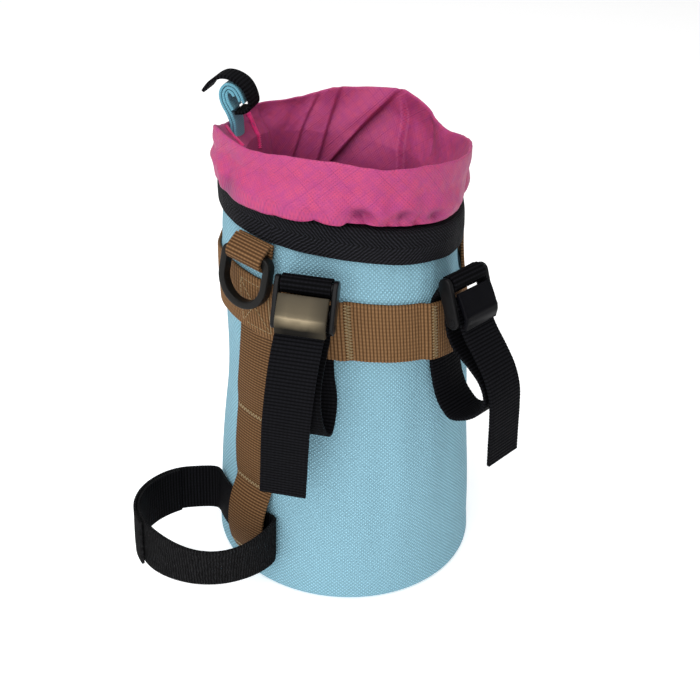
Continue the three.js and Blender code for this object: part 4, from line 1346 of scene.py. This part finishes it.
def build_cams(sizes, finishes):
    """The bowed plates between the ears, each with a ridge and a turned-in lip."""
    half = EAR_INNER - CLEAR
    for side, row in BAR_STRAPS.items():
        theta = row["theta"]
        wall = wall_reach(theta, BAND_MIDDLE)
        run = Run(spline([Vector((wall + out, row["top_bar"] - drop, 0)) for out, drop in CAM_PLATE]))

        def place(u, v):
            point = run.at(u * run.length)
            heading = run.heading(u * run.length)
            normal = Vector((-heading.y, heading.x))
            bow = CAM_BOW * (1 - (2 * u - 1) ** 2) - CAM_LIP * smooth(u, 0.74, 1)
            bow += CAM_RIDGE * bell(u - 0.66, 0.05)
            return from_band(theta, point.x + normal.x * bow, (2 * v - 1) * half, point.y + normal.y * bow)

        mesh = laid_grid(*CAM_GRID, place, (run.length, 2 * half))
        node = f"cam_{side}"
        piece = add_piece(mesh, f"{node}_plate", "bag", [finishes[node]], [node])
        thicken(piece, CAM_THICK, 0.5)


def build_wrap_strap(sizes, finishes):
    """One strip: once round as the inner layer, then lapped over its own start."""
    centre = outward(WRAP_THETA) * WRAP_REACH
    along = outward(OVAL_TURN + 90)
    across = outward(OVAL_TURN + 180)
    start, end, ramp = WRAP_LAP

    def spot(turn):
        point = centre + along * WRAP_LONG * cos(radians(turn)) + across * WRAP_SHORT * sin(radians(turn))
        away = point - body_centre(WRAP_LOW)
        theta = degrees(atan2(away.x, -away.y))
        least = wall_radius(theta, WRAP_LOW) + WRAP_GAP + WRAP_THICK / 2
        return body_centre(WRAP_LOW) + away.normalized() * max(away.length, least)

    line = []
    for turn in range(start + 2, 360 + end + 1, 2):
        ahead = (spot(turn + 1) - spot(turn - 1)).normalized()
        lapped = (WRAP_THICK + 0.1) * smooth(turn, 360 + start - ramp, 360 + start + 2)
        line.append(spot(turn) + Vector((ahead.y, -ahead.x, 0)) * lapped)
    settle(line, WRAP_SETTLE)
    run = Run(line)

    def place(u, v):
        distance = u * run.length
        point = run.at(distance)
        ahead = run.heading(distance)
        up = (v - 0.5) * WRAP_WIDTH
        out = Vector((ahead.y, -ahead.x, 0))
        wave = min(0.25 * noise.noise(Vector((distance / 16, v * 1.5, 4.4))), 0.1)
        cup = 0.12 * (2 * v - 1) ** 2
        facing = degrees(atan2(out.x, -out.y))
        flare = WRAP_FLARE * bell(turn_between(facing, WRAP_FLARE_AT), WRAP_FLARE_BROAD) * v ** 1.5
        height = WRAP_LOW + WRAP_WIDTH / 2 + up - 0.15 * flare
        return point + out * (wave - cup + flare) + Vector((0, 0, height))

    mesh = laid_grid(int(run.length), 14, place, (run.length, WRAP_WIDTH))
    piece = add_piece(mesh, "wrap_strap_tape", "bag",
                      [finishes["pile"], finishes["black"]], ["wrap_strap"])
    thicken(piece, WRAP_THICK - 0.2, SOFT_EDGE, other_face=1)


def slot_strip(name, rows, offset, share, width, thickness, material, nodes):
    """A strip that stands in the upright plane of the hem slot, set off from its line."""
    base = Run(spline([Vector((reach, up, 0)) for reach, up in rows]))
    start, end = share
    centre = body_centre(BODY_HEIGHT)
    points = []
    for i in range(121):
        at = (start + (end - start) * i / 120) * base.length
        heading = base.heading(at)
        points.append(base.at(at) + Vector((-heading.y, heading.x, 0)) * offset)
    settle(points, round(TAPE_SETTLE * abs(offset)))
    run = Run(points)

    def place(u, v):
        point = run.at(u * run.length)
        out = outward(SLOT_THETA) * point.x
        side = outward(SLOT_THETA + 90) * (v - 0.5) * width
        return centre + out + side + Vector((0, 0, point.y))

    mesh = laid_grid(*TAPE_GRID, place, (run.length, width))
    piece = add_piece(mesh, name, "bag", [material], nodes)
    thicken(piece, thickness, min(thickness / 3, SOFT_EDGE))
    return piece, run.length


def build_draw_tape(sizes, finishes):
    """The tape's rolled layers, and the tab folded round its ends."""
    for layer, offset, share in TAPE_LAYERS:
        nodes = ["draw_tape"] if layer == "outer" else []
        slot_strip(f"draw_tape_{layer}", DRAW_TAPE, offset, share, TAPE_WIDTH, TAPE_THICK,
                                 finishes["draw_tape"], nodes)
    piece, length = slot_strip("pull_tab_webbing", PULL_TAB, 0, (0, 1), TAB_WIDTH, TAB_THICK,
                               finishes["black"], ["pull_tab"])


def band_seams(mesh, thick):
    """The band's bartacks and, below the D-ring, its crossed box seam."""
    off = BAND_THICK / 2 + 0.12
    for theta in BAND_TACKS:

        def tack(down, aside):
            return band_point(theta + degrees(aside / BAND_ROUND), BAND_TALL / 2 - 0.8 - down, off)

        zigzag(mesh, tack, BAND_TALL - 1.6, 2.6, 0.62, thick)
    middle, wide, tall = BOX_SEAM
    corners = [(-wide, tall), (wide, -tall), (wide, tall), (-wide, -tall)]
    corners += [(-wide, tall), (wide, tall), (wide, -tall), (-wide, -tall)]
    for start, end in zip(corners, corners[1:]):
        side = Run([Vector(start), Vector(end)])

        def along(distance):
            spot = side.at(distance)
            return band_point(middle + degrees(spot.x / BAND_ROUND), spot.y, off)

        straight_seam(mesh, along, side.length, 1.9, thick)


def down_strap_seams(mesh, thick):
    """Zigzag seams that hold the steps of the down strap."""
    run = down_strap_run()
    marks = [i * 0.5 for i in range(int(run.length / 0.5))]
    for height, slant in STRAP_SEAMS:
        middle = min(marks, key=lambda mark: abs(run.at(mark).y - height))

        def across(distance, aside):
            side = distance - STRAP_SEAM_HALF
            at = middle + aside + slant * side
            return down_strap_point(run.at(at), run.heading(at), side, -(BROWN_THICK / 2 + 0.14))

        zigzag(mesh, across, 2 * STRAP_SEAM_HALF, 1.7, 0.8, thick)


def hem_bartacks(mesh, thick):
    """Dense bartacks on both sides of the hem slot."""
    for turn, low, high, width in HEM_TACKS:
        tall = HEM_TALL * (high - low)

        def hem(distance, aside):
            s = low + (high - low) * distance / tall
            return collar_point(SLOT_THETA + turn + degrees(aside / HEM_ROUND), s, collar_half(s) + 0.12)

        zigzag(mesh, hem, tall, width, 0.32, thick)


def build_stitching(sizes, finishes):
    mesh = bmesh.new()
    band_seams(mesh, sizes.thread)
    down_strap_seams(mesh, sizes.thread)
    add_piece(mesh, "webbing_stitches", "bag", [finishes["khaki"]])
    mesh = bmesh.new()
    hem_bartacks(mesh, sizes.thread * 1.6)
    add_piece(mesh, "collar_bartacks", "bag", [finishes["pink"]])


def add_floor(scene, stage):
    """A plain pale floor that glows a little, as a light table does."""
    floor = Finish("pale_floor", tuple(stage.floor), 0.9, Specular_IOR_Level=0.1,
                   Emission_Color=(1, 1, 1, 1), Emission_Strength=stage.floor_glow)
    mesh = bmesh.new()
    bmesh.ops.create_grid(mesh, x_segments=1, y_segments=1, size=FLOOR_HALF)
    data = bpy.data.meshes.new("floor")
    mesh.to_mesh(data)
    mesh.free()
    data.materials.append(floor.material)
    ground = bpy.data.objects.new("floor", data)
    scene.collection.objects.link(ground)


def add_light(scene, stage):
    """White surroundings and softboxes that look at the bag."""
    world = bpy.data.worlds.new("studio")
    world.use_nodes = True
    surroundings = world.node_tree.nodes["Background"]
    surroundings.inputs["Color"].default_value = (1, 1, 1, 1)
    surroundings.inputs["Strength"].default_value = stage.ambient
    scene.world = world
    for name, theta, up, away, size in SOFTBOXES:
        lamp = bpy.data.lights.new(f"{name}_softbox", "AREA")
        lamp.size = size
        lamp.energy = getattr(stage, name)
        light = bpy.data.objects.new(f"{name}_softbox", lamp)
        aim = outward(theta) * cos(radians(up)) + Vector((0, 0, sin(radians(up))))
        turned = aim.to_track_quat("Z", "Y").to_matrix().to_4x4()
        light.matrix_world = Matrix.Translation(aim * away + Vector((0, 0, 0.1))) @ turned
        scene.collection.objects.link(light)


def add_camera(scene, stage):
    """The photograph's viewpoint, turned with the oval."""
    pitch, yaw, roll = stage.pitch, stage.yaw, stage.roll
    ahead = Vector((sin(yaw) * cos(pitch), cos(yaw) * cos(pitch), -sin(pitch)))
    right = Vector((cos(yaw), -sin(yaw), 0))
    up = right.cross(ahead)
    rolled_right = right * cos(roll) + up * sin(roll)
    rolled_up = up * cos(roll) - right * sin(roll)
    axes = Matrix((rolled_right, rolled_up, -ahead)).transposed()
    eye = Matrix.Translation((0, -stage.distance, stage.height)) @ axes.to_4x4()
    lens = bpy.data.cameras.new("photo_camera")
    lens.lens = stage.lens
    lens.sensor_width = SENSOR
    camera = bpy.data.objects.new("photo_camera", lens)
    camera.matrix_world = Matrix.Rotation(radians(OVAL_TURN), 4, "Z") @ eye
    scene.collection.objects.link(camera)
    scene.camera = camera


def build_stage(stage):
    scene = bpy.context.scene
    scene.view_settings.view_transform = "Standard"
    add_floor(scene, stage)
    add_light(scene, stage)
    add_camera(scene, stage)


# Settings

def colour_setting(name, description, default):
    return FloatVectorProperty(name=name, description=description, default=default, size=3, min=0, max=1,
                               subtype="COLOR")


class StemBagColours(bpy.types.PropertyGroup):
    shell: colour_setting("Shell", "Padded oxford cloth of the body", (0.27, 0.5, 0.61))
    collar: colour_setting("Collar", "Ripstop of the collar and lining", (0.42, 0.046, 0.15))
    collar_thread: colour_setting("Collar thread", "Thicker threads of the ripstop grid", (0.25, 0.03, 0.16))
    binding: colour_setting("Binding", "Tape over the top edge", (0.0029, 0.0029, 0.0038))
    brown: colour_setting("Brown webbing", "Band, tabs and down strap", (0.12, 0.055, 0.02))
    # Painted highlight: the colour given to the crests of the brown webbing's ribs.
    brown_crest_highlight: colour_setting("Brown ribs", "Crests of the brown webbing's ribs", (0.23, 0.124, 0.056))
    black: colour_setting("Black webbing", "Bar straps and pull tab", (0.002, 0.002, 0.0025))
    # Painted highlight: the colour given to the crests of the black webbing's ribs.
    black_crest_highlight: colour_setting("Black ribs", "Crests of the black webbing's ribs", (0.0075, 0.0075, 0.0095))
    pile: colour_setting("Loop pile", "Outer face of the wrap strap", (0.005, 0.005, 0.0053))
    draw_tape: colour_setting("Draw tape", "Tape that closes the collar", (0.12, 0.36, 0.46))
    ring: colour_setting("D-ring", "Moulded D-ring", (0.005, 0.0047, 0.0042))
    buckle: colour_setting("Buckles", "Frames of both buckles", (0.004, 0.004, 0.0044))
    cam: colour_setting("Right cam", "Right cam plate", (0.002, 0.002, 0.003))
    # Base colour of the left cam plate's painted reflection.
    cam_reflection_base: colour_setting("Left cam", "Worn left cam plate", (0.15, 0.122, 0.078))
    khaki: colour_setting("Webbing thread", "Stitches on the brown webbing", (0.3, 0.215, 0.1))
    pink: colour_setting("Collar bartacks", "Stitches beside the hem slot", (0.9, 0.008, 0.2))


class StemBagSizes(bpy.types.PropertyGroup):
    round_steps: IntProperty(name="Steps round", description="Steps round the body", default=360, min=60,
                             max=600)
    brown_rib: FloatProperty(name="Brown rib", description="Rib pitch of the brown webbing, in mm",
                             default=1.25)
    black_rib: FloatProperty(name="Black rib", description="Rib pitch of the black webbing, in mm",
                             default=1.4)
    rib_height: FloatProperty(name="Rib height", description="Half height of a webbing rib, in mm",
                              default=0.06)
    thread: FloatProperty(name="Thread", description="Radius of a stitch, in mm", default=0.17)


class StemBagStage(bpy.types.PropertyGroup):
    floor: colour_setting("Floor", "Plain pale floor", (0.9, 0.9, 0.9))
    floor_glow: FloatProperty(name="Floor glow", description="Light from the floor, as on a light table",
                              default=0.42)
    ambient: FloatProperty(name="Ambient", description="Strength of the white surroundings", default=0.44)
    key: FloatProperty(name="Key", description="Front softbox", default=6.8, unit="POWER")
    top: FloatProperty(name="Top", description="Overhead softbox", default=11, unit="POWER")
    right: FloatProperty(name="Right", description="Right-hand softbox", default=0.3, unit="POWER")
    distance: FloatProperty(name="Distance", description="Camera to the bag's axis", default=0.4213,
                            unit="LENGTH")
    height: FloatProperty(name="Height", description="Camera above the floor", default=0.3311, unit="LENGTH")
    pitch: FloatProperty(name="Pitch", description="Camera looks down by this angle", default=0.519,
                         subtype="ANGLE")
    yaw: FloatProperty(name="Yaw", description="Camera's sideways aim", default=-0.002, subtype="ANGLE")
    roll: FloatProperty(name="Roll", description="Camera's tilt", default=0.046, subtype="ANGLE")
    lens: FloatProperty(name="Lens", description="Focal length in mm", default=57.77)


def settings():
    scene = bpy.context.scene
    return scene.stem_bag_sizes, scene.stem_bag_colours, scene.stem_bag_stage


FINISHES = {}


def make_finishes(sizes, colours):
    """The bag's materials, made once and shared by its pieces."""
    if not FINISHES:
        FINISHES["shell"] = shell_cloth(colours)
        FINISHES["collar"] = collar_cloth(colours)
        FINISHES["binding"] = binding_tape(colours)
        FINISHES["brown"] = ribbed_webbing("brown_webbing", tuple(colours.brown), tuple(colours.brown_crest_highlight),
                                           sizes.brown_rib, 0.1, 0.8)
        FINISHES["black"] = ribbed_webbing("black_webbing", tuple(colours.black), tuple(colours.black_crest_highlight),
                                           sizes.black_rib, 0.035, 0.75)
        FINISHES["pile"] = fuzzy_loop(colours)
        FINISHES["draw_tape"] = flat_tape(colours)
        FINISHES["ring"] = moulded_plastic("ring_plastic", tuple(colours.ring), 0.4, 0.14, 0.05)
        FINISHES["buckle"] = moulded_plastic("buckle_plastic", tuple(colours.buckle), 0.3, 0.12, 0.03)
        FINISHES["cam_left"] = painted_reflection_plastic(colours)
        FINISHES["cam_right"] = moulded_plastic("cam_plastic", tuple(colours.cam), 0.3, 0.05, 0.02)
        FINISHES["khaki"] = sewing_thread("webbing_thread", tuple(colours.khaki))
        FINISHES["pink"] = sewing_thread("collar_thread", tuple(colours.pink))
    return FINISHES


class PieceOperator:
    """Shared by the operators that build pieces of the bag."""

    bl_options = {"REGISTER", "UNDO"}
    builders = ()

    def execute(self, context):
        sizes, colours, _ = settings()
        for builder in self.builders:
            builder(sizes, make_finishes(sizes, colours))
        return {"FINISHED"}


class STEMBAG_OT_shell(PieceOperator, bpy.types.Operator):
    """Build the padded shell with its pressed-in hollows"""

    bl_idname = "stembag.shell"
    bl_label = "Padded shell"
    builders = (build_shell,)


class STEMBAG_OT_binding(PieceOperator, bpy.types.Operator):
    """Fold the binding tape over the shell's top edge"""

    bl_idname = "stembag.binding"
    bl_label = "Rim binding"
    builders = (build_binding,)


class STEMBAG_OT_collar(PieceOperator, bpy.types.Operator):
    """Build the gathered ripstop collar"""

    bl_idname = "stembag.collar"
    bl_label = "Collar"
    builders = (build_collar,)


class STEMBAG_OT_band(PieceOperator, bpy.types.Operator):
    """Lay the brown band round the body"""

    bl_idname = "stembag.band"
    bl_label = "Band"
    builders = (build_band,)


class STEMBAG_OT_ring(PieceOperator, bpy.types.Operator):
    """Build the D-ring and the webbing tab that holds it"""

    bl_idname = "stembag.ring"
    bl_label = "D-ring and tab"
    builders = (build_ring, build_ring_tab)


class STEMBAG_OT_tabs(PieceOperator, bpy.types.Operator):
    """Build the down strap and the side tab"""

    bl_idname = "stembag.tabs"
    bl_label = "Down strap and side tab"
    builders = (build_down_strap, build_side_tab)


class STEMBAG_OT_buckles(PieceOperator, bpy.types.Operator):
    """Build both buckle frames and their cam plates"""

    bl_idname = "stembag.buckles"
    bl_label = "Cam buckles"
    builders = (build_buckles, build_cams)


class STEMBAG_OT_bar_straps(PieceOperator, bpy.types.Operator):
    """Thread both bar straps through their buckles"""

    bl_idname = "stembag.bar_straps"
    bl_label = "Bar straps"
    builders = (build_bar_straps,)


class STEMBAG_OT_wrap_strap(PieceOperator, bpy.types.Operator):
    """Close the wrap strap on itself at the bag's foot"""

    bl_idname = "stembag.wrap_strap"
    bl_label = "Wrap strap"
    builders = (build_wrap_strap,)


class STEMBAG_OT_draw_tape(PieceOperator, bpy.types.Operator):
    """Fold the draw tape and its pull tab"""

    bl_idname = "stembag.draw_tape"
    bl_label = "Draw tape and pull tab"
    builders = (build_draw_tape,)


class STEMBAG_OT_stitching(PieceOperator, bpy.types.Operator):
    """Sew the bartacks and seams"""

    bl_idname = "stembag.stitching"
    bl_label = "Stitching"
    builders = (build_stitching,)


class STEMBAG_OT_stage(bpy.types.Operator):
    """Set the floor, the soft light and the photograph's camera"""

    bl_idname = "stembag.stage"
    bl_label = "Stage"

    def execute(self, context):
        build_stage(settings()[2])
        return {"FINISHED"}


PIECE_OPERATORS = (
    STEMBAG_OT_shell,
    STEMBAG_OT_binding,
    STEMBAG_OT_collar,
    STEMBAG_OT_band,
    STEMBAG_OT_ring,
    STEMBAG_OT_tabs,
    STEMBAG_OT_buckles,
    STEMBAG_OT_bar_straps,
    STEMBAG_OT_wrap_strap,
    STEMBAG_OT_draw_tape,
    STEMBAG_OT_stitching,
    STEMBAG_OT_stage,
)


class STEMBAG_PT_panel(bpy.types.Panel):
    """The bag's operators and settings"""

    bl_idname = "STEMBAG_PT_panel"
    bl_label = "Stem Bag"
    bl_space_type = "VIEW_3D"
    bl_region_type = "UI"
    bl_category = "Stem Bag"

    def draw(self, context):
        for group in settings():
            box = self.layout.box()
            for name in group.__annotations__:
                box.prop(group, name)
        for operator in PIECE_OPERATORS:
            self.layout.operator(operator.bl_idname)


GROUPS = {
    "stem_bag_sizes": StemBagSizes,
    "stem_bag_colours": StemBagColours,
    "stem_bag_stage": StemBagStage,
}


def register():
    for group in GROUPS.values():
        bpy.utils.register_class(group)
    for operator in PIECE_OPERATORS:
        bpy.utils.register_class(operator)
    bpy.utils.register_class(STEMBAG_PT_panel)
    for name, group in GROUPS.items():
        setattr(bpy.types.Scene, name, PointerProperty(type=group))


def unregister():
    for name in GROUPS:
        delattr(bpy.types.Scene, name)
    bpy.utils.unregister_class(STEMBAG_PT_panel)
    for operator in reversed(PIECE_OPERATORS):
        bpy.utils.unregister_class(operator)
    for group in GROUPS.values():
        bpy.utils.unregister_class(group)


def main():
    register()
    bpy.ops.stembag.shell()
    bpy.ops.stembag.binding()
    bpy.ops.stembag.collar()
    bpy.ops.stembag.band()
    bpy.ops.stembag.ring()
    bpy.ops.stembag.tabs()
    bpy.ops.stembag.buckles()
    bpy.ops.stembag.bar_straps()
    bpy.ops.stembag.wrap_strap()
    bpy.ops.stembag.draw_tape()
    bpy.ops.stembag.stitching()
    bpy.ops.stembag.stage()


if __name__ == "__main__":
    main()
